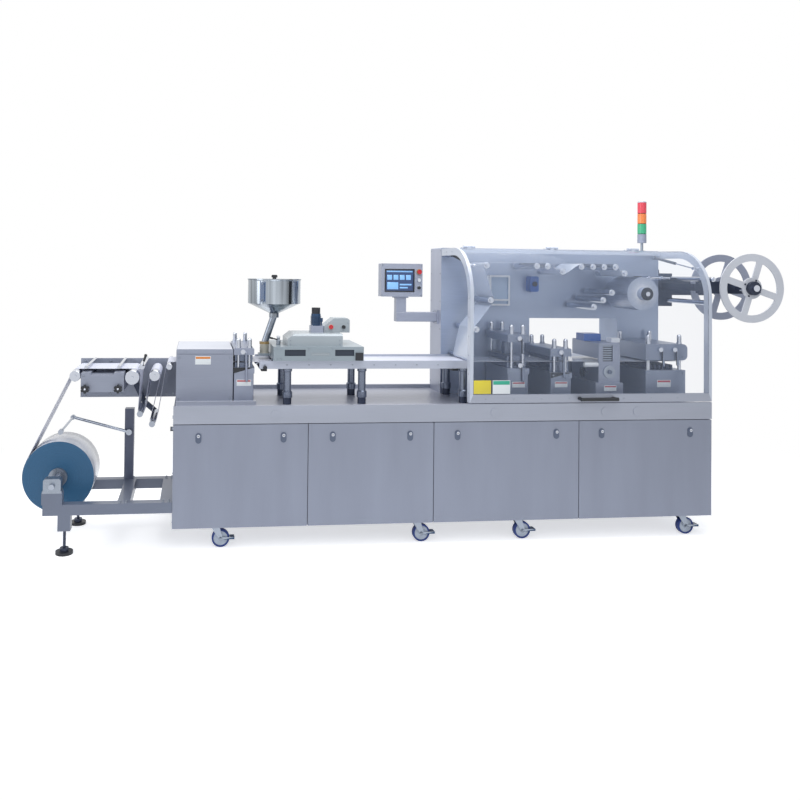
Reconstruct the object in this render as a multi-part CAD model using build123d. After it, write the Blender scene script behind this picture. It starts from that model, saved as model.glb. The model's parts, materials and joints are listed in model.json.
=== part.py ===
from build123d import *
import os
from math import asin, atan2, copysign, cos, hypot, pi, sin

# Machine axes, in millimetres: X along the line from the cabinet's left end, Y from its front face
# to the rear, Z up from the floor. The finished pieces are moved so that the origin is on the
# floor under the middle of the machine's outline.

# Cabinet and its panels
cabinet_length = 3200.0
cabinet_depth = 780.0
cabinet_floor = 126.0
cabinet_top = 800.0
deck_drop = 24.0
fascia_height = 100.0
panel_thickness = 20.0
panel_gap = 4.0
door_splits = (755.0, 1484.0, 2361.0)
latch_inset = 140.0
latch_drop = 77.0
latch_width = 33.0
latch_height = 58.0
latch_knob_radius = 9.0
latch_knob_height = 8.0
plug_radius = 26.0
plug_left = 569.0
plug_offsets = (153.0, 829.0, 1029.0)
small_part_height = 3.0
stop_button_inset = 100.0
stop_button_radius = 19.0
stop_shank_radius = 11.0
stop_button_step = 16.0
end_fitting_inset = 300.0
end_fittings = ((683.0, 9.0, 12.0), (614.0, 13.0, 24.0))

# Casters, four along each long side
caster_starts = (240.0, 1400.0, 2010.0)
caster_end_inset = 160.0
caster_inset = 70.0
wheel_radius = 50.0
wheel_width = 32.0
caster_trail = 32.0
caster_plate_size = 84.0
caster_plate_thickness = 6.0
fork_thickness = 4.0
fork_side_gap = 3.0
crown_thickness = 10.0
crown_radius = 26.0
axle_radius = 5.0
kingpin_radius = 7.0
pin_clearance = 0.3
swivel_gap = 0.5
pedal_reach = 78.0
pedal_length = 24.0
pedal_rise = (-5.0, 7.0)
fork_plate = 5.0
fork_rear = 20.0
fork_boss = 13.0
axle_stand = 3.0
hub_boss = 16.0
tyre_depth = 10.0
hub_recess = 5.0

# Film web, which sets where the rollers, the track and the presses lie
web_front = 195.0
web_width = 250.0
web_thickness = 1.0
web_clearance = 0.3
web_slot = 40.0
track_top = 1029.0

# Unwinder frame at the left end
rail_size = 58.0
rail_height = 214.0
unwinder_length = 584.0
roll_side_gap = 37.0
cross_bar_width = 68.0
cross_bar_position = 232.0
roll_centre = (-646.0, 373.0)
roll_radius = 200.0
roll_margin = 5.0
core_radius = 38.0
shaft_radius = 15.0
cone_radius = 52.0
cone_length = 18.0
bearing_width = 110.0
bearing_inset = 8.0
bearing_cap = 12.0
bearing_lip = 5.0
shaft_ends = (20.0, 12.0)
bearing_height = 78.0
foot_rod_radius = 8.0
foot_pad_radius = 47.0
foot_pad_height = 16.0
foot_collar_height = 18.0
foot_post_height = 85.0
follower_post_position = 251.0
follower_post_width = 55.0
follower_post_height = 428.0
follower_pivot_drop = 138.0
follower_reach = 33.0
follower_rise = 82.0
follower_arm_radius = 9.0
follower_boss_radius = 18.0
follower_boss_length = 26.0
follower_eye_radius = 14.0
follower_eye_half = 12.0
follower_wheel = (12.0, 18.0)
follower_bar_radius = 7.0
follower_front = 60.0

# Infeed plate, its rollers and the splice table; heights are counted down from the track's top
infeed_plate_gap = 85.0
infeed_plate_thickness = 12.0
infeed_plate_length = 580.0
infeed_plate_drop = 25.0
infeed_plate_lap = 34.0
roller_front = 100.0
journal_radius = 8.0
journal_length = 22.0
pinch_handle = (21.0, 65.0, 5.0, 9.0)
entry_place = (-551.0, 76.0, 30.0)
drive_place = (-236.0, 86.0, 40.0)
pinch_place = (-183.0, 25.0, 17.0)
turn_place = (-111.0, 76.0, 30.0)
dancer_one_place = (-189.0, 289.0, 17.0)
dancer_two_place = (-121.0, 346.0, 17.0)
dancer_pivot_place = (-258.0, 147.0)
dancer_plate = 12.0
dancer_plate_gap = 28.0
dancer_plate_width = 32.0
dancer_boss_margin = 4.0
heater_roller_x = -30.0
heater_roller_radius = 17.0
splice_length = 236.0
splice_left = -517.0
splice_front = 110.0
splice_drop = 58.0
splice_depth = 300.0
splice_height = 108.0
splice_bracket_inset = 40.0
splice_bracket = (20.0, 60.0)
splice_recess = (50.0, 55.0, 12.0)
splice_bar_insets = (25.0, 30.0)
splice_bar_reach = 80.0
splice_bar_radius = 9.0
splice_bar_height = 31.0
splice_knob_drop = 87.0
splice_knob_radius = 24.0
splice_knob_depth = 20.0
splice_knob_lobes = 6

# Heating box, forming press and what all presses share
heater_left = 8.0
heater_length = 326.0
heater_depth = 475.0
heater_rise = 69.0
heater_lid = 26.0
heater_wall = 20.0
press_margin = 30.0
forming_gap = 6.0
deck_plate_margin = 15.0
forming_width = 115.0
forming_rises = (-36.0, 36.0, 75.0)
forming_lever = (50.0, 56.0, 165.0)
station_depth = 450.0
foot_plate = 35.0
foot_lip = 4.0
post_radius = 8.0
post_inset = 17.0
post_spread = 0.22
dome_radius = 13.0
dome_height = 59.0
die_gap = 3.0
die_margin = 6.0
ram_radius = 30.0
ram_above = 60.0
lever_boss_radius = 14.0
lever_stand = 22.0
lever_radius = 6.0
lever_grip_radius = 8.5
lever_reach = 18.0
lever_lean = 6.0

# Feeding track and its posts
track_gap = 33.0
track_overlap = 49.0
track_margin = 25.0
track_depth = 360.0
track_height = 46.0
track_floor = 6.0
track_rail = 16.0
track_bed_drop = 8.0
track_bed = 4.0
track_ramp = (22.0, 8.0)
track_post_starts = (167.0, 612.0)
track_post_end = 23.0
track_post_inset = 18.0
track_post_rear_inset = 30.0
track_post_radius = 15.0
collar_radius = 25.0
collar_height = 38.0

# Feeder on the track, with its drive and switch box; X is counted from the feeder's left end
feeder_offset = 77.0
feeder_length = 532.0
feeder_margin = 75.0
feeder_depth = 440.0
feeder_gap = 6.0
feeder_height = 82.0
feeder_support_inset = 40.0
feeder_windows = ((65.0, 187.0), (361.0, 474.0))
feeder_window_rises = (29.0, 65.0)
feeder_slot = (221.0, 330.0, 30.0, 48.0)
feeder_recess = 5.0
sensor_box = (481.0, 526.0, 3.0, 48.0, 9.0)
cover_offset = 86.0
cover_length = 327.0
cover_height = 71.0
cover_margin = 40.0
cover_depth = 260.0
cover_chamfer = (40.0, 30.0)
gearbox = (238.0, 316.0, 142.0, 218.0, 40.0)
motor_offset = (273.0, 180.0)
motor_radius = 29.0
motor_height = 71.0
motor_cap = (26.0, 37.0)
motor_fins = 9
motor_fin = (2.5, 4.0)
motor_fin_inset = 10.0
terminal_box = (12.0, 12.0, 12.0, 10.0)
switch_box = (319.0, 476.0, 150.0, 270.0)
switch_box_height = 86.0
switch_box_corners = (59.0, 49.0, 13.0, 11.0)
switch_button = (360.0, 34.0, 13.0)
switch_ring = (5.0, 3.0)
switch_head = 11.0
switch_knob = (437.0, 34.0, 11.0)
conduit_radius = 5.0
conduit_drop = 4.0

# Hopper, its lid and its chute
hopper_offset = (23.0, 230.0)
hopper_radius = 160.0
hopper_cylinder_height = 144.0
hopper_cone_height = 61.0
hopper_outlet_radius = 29.0
hopper_wall = 3.0
hopper_bead = 4.0
sight_glass = (22.0, 6.0, 107.0, -31.0)
lid_thickness = 4.0
lid_knob = (12.0, 8.0)
lid_wing = (36.0, 7.0, 16.0)
chute_offset = 34.0
chute_rise = 171.0
chute_radius = 21.0
chute_dip = 14.0
chute_ring = (30.0, 15.0)
chute_collar = (9.0, 26.0)
chute_seat_rise = 22.0
chute_seat_thickness = 12.0
chute_seat_margin = 8.0
chute_seat_lap = 10.0
drum_radius = 28.0
drum_height = 70.0
drum_grooves = 5
drum_groove = (4.0, 3.0)

# Control panel on its arm
arm_bottom = 1233.0
arm_height = 62.0
arm_depth = 60.0
arm_inset = 65.0
neck_offset = 105.0
neck_width = 66.0
neck_height = 101.0
flange_thickness = 8.0
flange_margin = 14.0
panel_offset = 384.0
panel_width = 276.0
panel_height = 216.0
panel_depth = 70.0
panel_lip = 10.0
screen_inset = 28.0
screen_width = 189.0
screen_rise = 36.0
screen_height = 140.0
screen_depth = 3.0
panel_stop = (252.0, 163.0, 18.0, 14.0)
panel_stop_head = 16.0
panel_ring = (4.0, 3.0)
panel_button_head = 6.0
panel_button = (252.0, 109.0, 10.0)
panel_knob = (252.0, 59.0, 11.0)

# Hood, its housing, hinges and gas struts
hood_length = 1504.0
hood_front = 0.0
hood_top = 1718.0
hood_floor_gap = 5.0
hood_radius = 295.0
hood_band = 46.0
hood_end_width = 20.0
hood_sheet = 5.0
hood_rail_height = 48.0
hood_rail_depth = 20.0
rear_rail = (40.0, 25.0)
hood_rear_gap = 5.0
hood_top_gap = 6.0
press_depth = 350.0
housing_gap = 20.0
opening_offset = 600.0
opening_margin = 293.0
opening_bottom = 1010.0
opening_height = 255.0
handle_offset = 655.0
handle_length = 230.0
handle_radius = 11.0
handle_reach = 42.0
hinge_radius = 8.0
hinge_pin_radius = 4.0
hinge_set_back = 2.0
hinge_rise = 9.0
hinge_offsets = (184.0, 752.0, 1320.0)
hinge_knuckle = 26.0
hinge_leaf = 55.0
hinge_leaf_thickness = 3.0
strut_radius = 9.0
strut_rod_radius = 4.0
strut_eye_half = 6.0
strut_eye_radius = 12.0
strut_pin_radius = 5.0
strut_end_radius = 9.0
strut_stud_radius = 8.0
strut_ear = (11.0, 17.0, 12.0, 14.0)
strut_pin = (8.0, 14.0)
strut_fixed_drop = (45.0, 46.0)
strut_moving_drop = (96.0, 116.0)
strut_inset = 34.0
strut_tube_share = 0.55
strut_rod_start = 115.0
back_panel_inset = 40.0
back_panel_thickness = 8.0
louvre_rows = 6
louvre_length = 180.0
louvre_height = 8.0
louvre_depth = 3.0
louvre_pitch = 22.0

# Rollers and foil under the hood: X from the hood's left end, Z down from the housing's top
hood_roller_radius = 19.0
hood_roller_margin = 13.0
hood_roller_places = ((173.0, 114.0), (493.0, 114.0), (561.0, 114.0), (659.0, 146.0), (780.0, 114.0),
                      (855.0, 114.0), (928.0, 114.0), (1002.0, 114.0), (1062.0, 152.0), (979.0, 272.0),
                      (922.0, 319.0), (862.0, 362.0), (200.0, 325.0), (111.0, 503.0))
lay_roller_gap = 20.0
lay_roller_radius = 16.0
web_end_inset = 54.0
foil_roll_place = (1180.0, 277.0)
foil_roll_radius = 103.0
foil_core_radius = 40.0
foil_hub_stand = 45.0
spindle_radius = 14.0

# Fittings on the housing's front: X from the hood's left end, Z down from the housing's top,
# and the guide rod's X from the hood's right end
wall_cabinet = (310.0, 448.0, 371.0, 174.0)
wall_cabinet_depth = 42.0
wall_cabinet_frame = 12.0
wall_cabinet_bar = 334.0
web_sensor = (576.0, 632.0, 279.0, 178.0, 66.0)
web_sensor_lens = (8.0, 16.0)
guide_rod = (-206.0, 44.0, 55.0, 181.0)
guide_rod_radius = 8.0
guide_rod_grip = (48.0, 13.0)
guide_rod_brackets = (90.0, 180.0)
guide_rod_bracket = (16.0, 12.0, 14.0)

# Presses under the hood: X from the hood's left end, width, and rises from the track's top
punch_sizes = (298.0, 128.0, -46.0, 112.0, 160.0)
punch_levers = ((64.0, 137.0, 86.0), (68.0, -26.0, 92.0))
cool_sizes = (570.0, 130.0, -71.0, 26.0, 74.0)
cool_levers = ((56.0, 53.0, 150.0),)
print_offset = 877.0
print_width = 137.0
print_depth = 330.0
print_drop = 134.0
print_rise = 109.0
print_base_margins = (27.0, 13.0, 15.0, 20.0)
print_window = (27.0, 90.0, -4.0, 94.0, 12.0)
print_dial = (67.0, -68.0, 38.0, 8.0)
print_roller = (-86.0, 14.0, -26.0, 14.0)
print_head = (-23.0, 88.0, 135.0, 235.0, 45.0)
print_feed = (103.0, 157.0, 35.0, 97.0, 26.0)
handwheel = (-27.0, 135.0, -87.0, 30.0)
handwheel_width = 10.0
cutter_offset = 1184.0
cutter_width = 262.0
cutter_drop = 59.0
cutter_head = (2.0, 102.0)
cutter_head_overhang = 14.0
cutter_post_insets = (26.0, 30.0)
cutter_fins = 6
cutter_fin_height = 30.0
cutter_fin_insets = (50.0, 34.0)
cutter_levers = ((87.0, 69.0, 96.0), (180.0, 69.0, 92.0))

# Signal lamp: X from the hood's right end, Z up from the housing's top
lamp_inset = 38.0
lamp_depth = 665.0
lamp_radius = 29.0
lamp_base_rise = 59.0
lamp_base_height = 60.0
lamp_segment = 66.0
lamp_gap = 4.0
lamp_stem_radius = 9.0
lamp_flange = (24.0, 6.0)

# Take-up reel and outfeed rollers: X from the hood's right end, Z down from the housing's top
reel_place = (325.0, 234.0)
reel_radius = 213.0
reel_rim = 46.0
reel_thickness = 8.0
reel_front = 80.0
reel_spacing = 280.0
reel_hub_radius = 66.0
reel_bush_radius = 42.0
reel_bush_length = 24.0
reel_shaft_radius = 20.0
reel_shaft_front = 40.0
reel_spokes = 4
reel_spoke_width = 40.0
reel_spoke_angle = 18.0
reel_plate_thickness = 12.0
reel_plate_height = 220.0
reel_plate_margins = (20.0, 10.0)
reel_arm_height = 60.0
reel_arm_inset = 30.0
reel_arm_depth = 100.0
reel_beam = (28.0, 58.0, 125.0, 30.0)
reel_beam_height = 22.0
reel_support = (43.0, 38.0)
outfeed_offsets = ((83.0, 182.0), (50.0, 326.0))
outfeed_radius = 15.0
outfeed_front = 90.0
outfeed_wall = 10.0
outfeed_plate = (105.0, 368.0, 148.0)

# Places that follow from the sizes above
deck = cabinet_top - deck_drop
seam = cabinet_top - fascia_height
housing_rear = cabinet_depth - panel_thickness
web_level = track_top - track_bed_drop + web_clearance
station_front = web_front - press_margin
heater_front = station_front
housing_front = station_front + press_depth + housing_gap
hood_right = cabinet_length
hood_left = hood_right - hood_length
hood_bottom = cabinet_top + hood_floor_gap
caster_positions = caster_starts + (cabinet_length - caster_end_inset,)
plug_positions = (plug_left,) + tuple(hood_left + offset for offset in plug_offsets)

roll_front = web_front - roll_margin
roll_width = web_width + 2 * roll_margin
unwinder_depth = roll_front + roll_width + roll_side_gap + rail_size
bearing_top = roll_centre[1] + bearing_height / 2
bearing_base_top = roll_centre[1] - bearing_height / 2
follower_post_top = rail_height + rail_size + follower_post_height
follower_pivot_height = follower_post_top - follower_pivot_drop
follower_tip = (roll_centre[0] + follower_reach, roll_centre[1] + roll_radius + follower_rise)

infeed_plate_front = web_front + web_width + infeed_plate_gap
infeed_plate_top = track_top - infeed_plate_drop
entry_roller = (entry_place[0], track_top - entry_place[1], entry_place[2])
drive_roller = (drive_place[0], track_top - drive_place[1], drive_place[2])
pinch_roller = (pinch_place[0], track_top - pinch_place[1], pinch_place[2])
turn_roller = (turn_place[0], track_top - turn_place[1], turn_place[2])
dancer_one = (dancer_one_place[0], track_top - dancer_one_place[1], dancer_one_place[2])
dancer_two = (dancer_two_place[0], track_top - dancer_two_place[1], dancer_two_place[2])
dancer_pivot = (dancer_pivot_place[0], track_top - dancer_pivot_place[1])
heater_roller = (heater_roller_x, web_level - web_clearance - heater_roller_radius, heater_roller_radius)
splice_top = track_top - splice_drop

heater_top = track_top + heater_rise
forming_left = heater_left + heater_length + forming_gap
track_left = forming_left + forming_width + track_gap
track_right = hood_left + track_overlap
track_front = web_front - track_margin
track_post_positions = (*(track_left + start for start in track_post_starts), track_right - track_post_end)
feeder_left = track_left + feeder_offset
feeder_front = web_front - feeder_margin
feeder_bottom = track_top + feeder_gap
feeder_top = feeder_bottom + feeder_height
cover_left = feeder_left + cover_offset
cover_top = feeder_top + cover_height
chute_foot = (feeder_left - chute_offset, feeder_front + hopper_offset[1])
chute_seat = feeder_bottom + chute_seat_rise
hopper_centre = (feeder_left + hopper_offset[0], feeder_front + hopper_offset[1])
hopper_bottom = chute_seat + drum_height + chute_rise
hopper_top = hopper_bottom + hopper_cone_height + hopper_cylinder_height

panel_left = hood_left - panel_offset
panel_front = housing_front + arm_inset
neck_left = panel_left + neck_offset
panel_bottom = arm_bottom + arm_height + neck_height

opening_left = hood_left + opening_offset
opening_right = hood_right - opening_margin
opening_top = opening_bottom + opening_height
handle_left = hood_left + handle_offset
hinge_pivot = (housing_front - hinge_set_back, hood_top + hinge_rise)
hinge_positions = tuple(hood_left + offset for offset in hinge_offsets)
strut_fixed = (housing_front - strut_fixed_drop[0], hood_top - strut_fixed_drop[1])
strut_moving = (hood_front + strut_moving_drop[0], hood_top - strut_moving_drop[1])
hood_roller_front = web_front - hood_roller_margin
hood_roller_centres = tuple((hood_left + x, hood_top - z) for x, z in hood_roller_places)
lay_roller_x = track_right + lay_roller_gap
web_end = hood_right - web_end_inset
foil_roll_centre = (hood_left + foil_roll_place[0], hood_top - foil_roll_place[1])
foil_roll_front = roll_front
foil_roll_width = roll_width
print_left = hood_left + print_offset
cutter_left = hood_left + cutter_offset
lamp_centre = (hood_right - lamp_inset, lamp_depth)
reel_centre = (hood_right + reel_place[0], hood_top - reel_place[1])
outfeed_places = tuple((hood_right + x, hood_top - z) for x, z in outfeed_offsets)


def block(x, y, z):
    """Box between the low and high value on each axis."""
    size = (x[1] - x[0], y[1] - y[0], z[1] - z[0])
    return Pos(x[0], y[0], z[0]) * Box(*size, align=(Align.MIN, Align.MIN, Align.MIN))


def bar(start, end, radius, bore=0.0):
    """Round bar or tube from one point to another."""
    axis = Vector(*end) - Vector(*start)
    seat = Plane(origin=start, z_dir=axis)
    up = (Align.CENTER, Align.CENTER, Align.MIN)
    solid = seat * Cylinder(radius, axis.length, align=up)
    if bore:
        solid -= seat * Cylinder(bore, axis.length, align=up)
    return solid


def along_y(centre, y, radius, bore=0.0):
    """Round bar along Y with its centre at X, Z."""
    return bar((centre[0], y[0], centre[1]), (centre[0], y[1], centre[1]), radius, bore)


def upright(x, y, z, radius, bore=0.0):
    """Round bar along Z."""
    return bar((x, y, z[0]), (x, y, z[1]), radius, bore)


def prism_y(points, y):
    """Plate with its outline in X and Z, between two values of Y."""
    corners = [(px, y[0], pz) for px, pz in points]
    face = make_face(Polyline(*corners, close=True))
    return extrude(face, amount=y[1] - y[0], dir=(0, 1, 0))


def group(*shapes):
    """One node made of separate solids."""
    return Compound([solid for shape in shapes for solid in shape.solids()])


def web_line(stops, shift):
    """Edges of one face of a web that runs tangent to rollers, in X and Z.

    Each stop is (x, z, radius, side): side is 1 where the roller lies right of the
    direction of travel and -1 where it lies left. The shift moves the face off the rollers.
    """
    reach = [(side * (radius + web_clearance)) + (shift if side > 0 else shift - web_thickness)
             for _, _, radius, side in stops]
    spans = []
    for (xa, za, _, _), (xb, zb, _, _), ra, rb in zip(stops, stops[1:], reach, reach[1:]):
        length = hypot(xb - xa, zb - za)
        heading = atan2(zb - za, xb - xa) + asin((rb - ra) / length)
        normal = (-sin(heading), cos(heading))
        spans.append(((xa + ra * normal[0], za + ra * normal[1]),
                      (xb + rb * normal[0], zb + rb * normal[1]), heading))
    edges = []
    for index, (start, end, heading) in enumerate(spans):
        edges.append(Line((start[0], start[1]), (end[0], end[1])))
        if index + 1 < len(spans):
            after, turn = spans[index + 1][0], spans[index + 1][2] - heading
            turn = (turn + pi) % (2 * pi) - pi
            if turn * reach[index + 1] > 0 and abs(turn) > pi / 2:
                turn -= copysign(2 * pi, turn)
            if abs(turn) > 0.01:
                centre = stops[index + 1][:2]
                middle = heading + turn / 2
                mid = (centre[0] - reach[index + 1] * sin(middle),
                       centre[1] + reach[index + 1] * cos(middle))
                edges.append(ThreePointArc(end, mid, after))
    return edges


def web(stops, y):
    """Thin web of film or foil that follows its rollers."""
    near = web_line(stops, 0.0)
    far = web_line(stops, web_thickness)
    ends = [Line(near[0] @ 0, far[0] @ 0), Line(near[-1] @ 1, far[-1] @ 1)]
    flat = make_face(Wire(near + far + ends))
    upright_plane = Plane(origin=(0, y[0], 0), x_dir=(1, 0, 0), z_dir=(0, -1, 0))
    return extrude(upright_plane * flat, amount=y[1] - y[0], dir=(0, 1, 0))


def cabinet_body():
    """Closed cabinet under the line, with its fascia strips and the deck."""
    inner = (panel_thickness, cabinet_depth - panel_thickness)
    body = block((0, cabinet_length), inner, (cabinet_floor, deck))
    body += block((0, cabinet_length), (0, panel_thickness), (seam, cabinet_top))
    body += block((0, cabinet_length), (inner[1], cabinet_depth), (seam, cabinet_top))
    return body


def panel_row(y):
    """Row of lift-off panels that closes one long side of the cabinet."""
    edges = (0.0,) + door_splits + (cabinet_length,)
    half = panel_gap / 2
    row = []
    for left, right in zip(edges, edges[1:]):
        panel = block((left + half, right - half), y, (cabinet_floor, seam - panel_gap))
        row.append(fillet(panel.edges().filter_by(Axis.Y), 3.0))
    return group(*row)


def latch_row(face_y, outward):
    """Two quarter-turn latches on each panel, proud of its face."""
    edges = (0.0,) + door_splits + (cabinet_length,)
    height = seam - latch_drop
    row = []
    for left, right in zip(edges, edges[1:]):
        for x in (left + latch_inset, right - latch_inset):
            outer = face_y + outward * small_part_height
            low, high = sorted((face_y, outer))
            straight = (latch_height - latch_width) / 2
            slot = block((x - latch_width / 2, x + latch_width / 2), (low, high),
                         (height - straight, height + straight))
            for z in (height - straight, height + straight):
                slot += along_y((x, z), (low, high), latch_width / 2)
            knob_end = outer + outward * latch_knob_height
            slot += along_y((x, height + straight), sorted((outer, knob_end)), latch_knob_radius)
            row.append(slot)
    return row


def fascia_plugs():
    """Round blanking plugs along the fascia."""
    plugs = [along_y((x, (seam + cabinet_top) / 2), (-small_part_height, 0), plug_radius)
             for x in plug_positions]
    return group(*plugs)


def stop_button():
    """Mushroom stop button on the cabinet's right end."""
    y, z = stop_button_inset, (seam + deck) / 2
    neck = cabinet_length + stop_button_step
    shank = bar((cabinet_length, y, z), (neck, y, z), stop_shank_radius)
    head = bar((neck, y, z), (neck + stop_button_step, y, z), stop_button_radius)
    return shank + fillet(head.edges().group_by(Axis.X)[-1], 5.0)


def end_studs():
    """Stud and knob on the cabinet's left end."""
    studs = []
    for z, radius, length in end_fittings:
        studs.append(bar((-length, end_fitting_inset, z), (0, end_fitting_inset, z), radius))
    return group(*studs)


def caster_places():
    """Name, X and Y of the swivel axis of every caster."""
    sides = (("front", caster_inset), ("rear", cabinet_depth - caster_inset))
    return [(f"{side}_{number}", x, y)
            for side, y in sides
            for number, x in enumerate(caster_positions, 1)]


def caster_mounts():
    """Top plates with kingpins, fixed under the cabinet."""
    half = caster_plate_size / 2
    mounts = []
    bottom = cabinet_floor - caster_plate_thickness
    for _, x, y in caster_places():
        plate = block((x - half, x + half), (y - half, y + half), (bottom, cabinet_floor))
        mounts.append(plate + upright(x, y, (bottom - crown_thickness, bottom), kingpin_radius))
    return group(*mounts)


def caster_fork(x, y):
    """Swivelling fork with crown, axle and brake pedal."""
    top = cabinet_floor - caster_plate_thickness - swivel_gap
    crown_bottom = top - crown_thickness
    axle_x = x + caster_trail
    inner = wheel_width / 2 + fork_side_gap
    outer = inner + fork_thickness
    crown = upright(x, y, (crown_bottom, top), crown_radius)
    seat = crown_bottom + fork_plate
    crown += block((x - fork_rear, x + crown_radius), (y - outer, y + outer), (crown_bottom, seat))
    crown -= upright(x, y, (crown_bottom, top), kingpin_radius + pin_clearance)
    for low in (y - outer, y + inner):
        outline = [(x - fork_rear, seat), (x + crown_radius, seat),
                   (axle_x + fork_boss, wheel_radius), (axle_x - fork_boss, wheel_radius)]
        leg = prism_y(outline, (low, low + fork_thickness))
        leg += along_y((axle_x, wheel_radius), (low, low + fork_thickness), fork_boss)
        crown += leg
    ends = (y - outer - axle_stand, y + outer + axle_stand)
    crown += along_y((axle_x, wheel_radius), ends, axle_radius)
    tip = axle_x + pedal_reach
    pad = tip - pedal_length
    z = (wheel_radius + pedal_rise[0], wheel_radius + pedal_rise[1])
    for low in (y - outer, y + inner):
        crown += block((axle_x, pad), (low, low + fork_thickness), z)
    crown += block((pad, tip), (y - outer, y + outer), z)
    return crown


def caster_wheel(x, y):
    """Wheel with a recessed hub, bored for its axle."""
    centre = (x + caster_trail, wheel_radius)
    half = wheel_width / 2
    wheel = along_y(centre, (y - half, y + half), wheel_radius)
    wheel = fillet(wheel.edges().filter_by(GeomType.CIRCLE), 4.0)
    for low in (y - half, y + half - hub_recess):
        span = (low, low + hub_recess)
        wheel -= along_y(centre, span, wheel_radius - tyre_depth, hub_boss)
    wheel -= along_y(centre, (y - half, y + half), axle_radius + pin_clearance)
    return wheel


def unwinder_frame():
    """Square rails, cross bars, bearing stands, legs and the follower post."""
    height = (rail_height, rail_height + rail_size)
    end = -unwinder_length - bearing_width
    leg = -unwinder_length - rail_size / 2
    x = roll_centre[0]
    bars = []
    for low in (0.0, unwinder_depth - rail_size):
        y = (low, low + rail_size)
        bars.append(block((end, 0), y, height))
        bars.append(block((x - bearing_width / 2, x + bearing_width / 2), y, (height[1], bearing_base_top)))
        bars.append(block((leg, leg + cross_bar_width), y, (rail_height - foot_post_height, rail_height)))
    for right in (-cross_bar_position, 0.0):
        bars.append(block((right - cross_bar_width, right), (rail_size, unwinder_depth - rail_size), height))
    left = -follower_post_position - follower_post_width
    bars.append(block((left, -follower_post_position), (unwinder_depth - rail_size, unwinder_depth),
                      (height[1], follower_post_top)))
    return group(*bars)


def bearing_blocks():
    """Split bearing blocks that carry the roll's shaft."""
    x, z = roll_centre
    blocks = []
    for low in (0.0, unwinder_depth - rail_size):
        y = (low, low + rail_size)
        half = bearing_width / 2 - bearing_inset
        housing = block((x - half, x + half), y, (bearing_base_top, bearing_top))
        housing = fillet(housing.edges().filter_by(Axis.Y).group_by(Axis.Z)[-1], 14.0)
        lip = half + bearing_lip
        housing += block((x - lip, x + lip), y, (bearing_base_top, bearing_base_top + bearing_cap))
        housing -= along_y((x, z), y, shaft_radius + pin_clearance)
        blocks.append(housing)
    return group(*blocks)


def levelling_feet():
    """Threaded feet under the two legs of the unwinder."""
    feet = []
    x = -unwinder_length - rail_size / 2 + cross_bar_width / 2
    top = rail_height - foot_post_height
    for y in (rail_size / 2, unwinder_depth - rail_size / 2):
        foot = upright(x, y, (0, foot_pad_height), foot_pad_radius)
        collar = foot_pad_height + foot_collar_height
        foot += upright(x, y, (foot_pad_height, collar), foot_pad_radius / 2)
        foot += upright(x, y, (collar, top), foot_rod_radius)
        feet.append(foot)
    return group(*feet)


def film_roll():
    """Wound roll of forming film with a hollow core."""
    end = roll_front + roll_width
    return along_y(roll_centre, (roll_front, end), roll_radius, core_radius)


def roll_shaft():
    """Shaft through the roll, with two cones that grip the core."""
    end = roll_front + roll_width
    shaft = along_y(roll_centre, (-shaft_ends[0], unwinder_depth + shaft_ends[1]), shaft_radius)
    shaft += along_y(roll_centre, (roll_front, end), core_radius)
    for low in (roll_front - cone_length, end):
        shaft += along_y(roll_centre, (low, low + cone_length), cone_radius)
    return shaft


def roll_follower():
    """Arm from the post to a cross bar that lies over the roll, with two small wheels."""
    low = unwinder_depth - rail_size
    x, z = follower_tip
    middle = low - follower_boss_length / 2
    root = (-follower_post_position - follower_post_width / 2, middle, follower_pivot_height)
    eye = (middle - follower_eye_half, middle + follower_eye_half)
    arm = bar((root[0], low, root[2]), (root[0], low - follower_boss_length, root[2]), follower_boss_radius)
    arm += bar(root, (x, middle, z), follower_arm_radius)
    arm += along_y((x, z), eye, follower_eye_radius)
    arm += along_y((x, z), (follower_front, eye[0]), follower_bar_radius)
    start, end = follower_wheel
    arm += along_y((x, z), (follower_front - start, follower_front + end), follower_eye_radius)
    return arm


def infeed_web_stops():
    """Rollers that the forming film follows from the roll to the heating box."""
    last = web_level - web_clearance
    return [roll_centre + (roll_radius, 1), entry_roller + (1,), drive_roller + (1,),
            dancer_one + (-1,), turn_roller + (1,), dancer_two + (-1,), heater_roller + (1,),
            (web_end, last - 1.0, 1.0, 1)]


def slot_through(x, y):
    """Room for the web to pass through a machine piece."""
    return block(x, (y[0], y[1]), (web_level - web_slot / 2, web_level + web_slot / 2))


def infeed_plate():
    """Upright plate that carries the infeed rollers."""
    y = (infeed_plate_front, infeed_plate_front + infeed_plate_thickness)
    return block((-infeed_plate_length, 0), y, (cabinet_top - infeed_plate_lap, infeed_plate_top))


def guide_roller(centre, y, radius):
    """Roller with a thinner journal at each end; the far one is fixed to its wall."""
    body = along_y(centre, (y[0] + journal_length / 2, y[1] - journal_length), radius)
    body = chamfer(body.edges().filter_by(GeomType.CIRCLE), 1.5)
    return body + along_y(centre, y, journal_radius)


def infeed_rollers():
    """Guide rollers held at one end by the infeed plate, and the lever of the pinch roller."""
    rollers = []
    for x, z, radius in (entry_roller, drive_roller, pinch_roller, turn_roller, heater_roller):
        rollers.append(guide_roller((x, z), (roller_front, infeed_plate_front), radius))
    x, z, _ = pinch_roller
    reach, rise, stem, grip = pinch_handle
    y = roller_front + journal_length / 4
    end = (x + reach, y, z + rise)
    middle = (x + reach / 2, y, z + rise / 2)
    lever_bar = bar((x, y, z), end, stem - 1) + bar(middle, end, grip - 2)
    rollers[2] += lever_bar + Pos(*end) * Sphere(grip)
    return group(*rollers)


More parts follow.
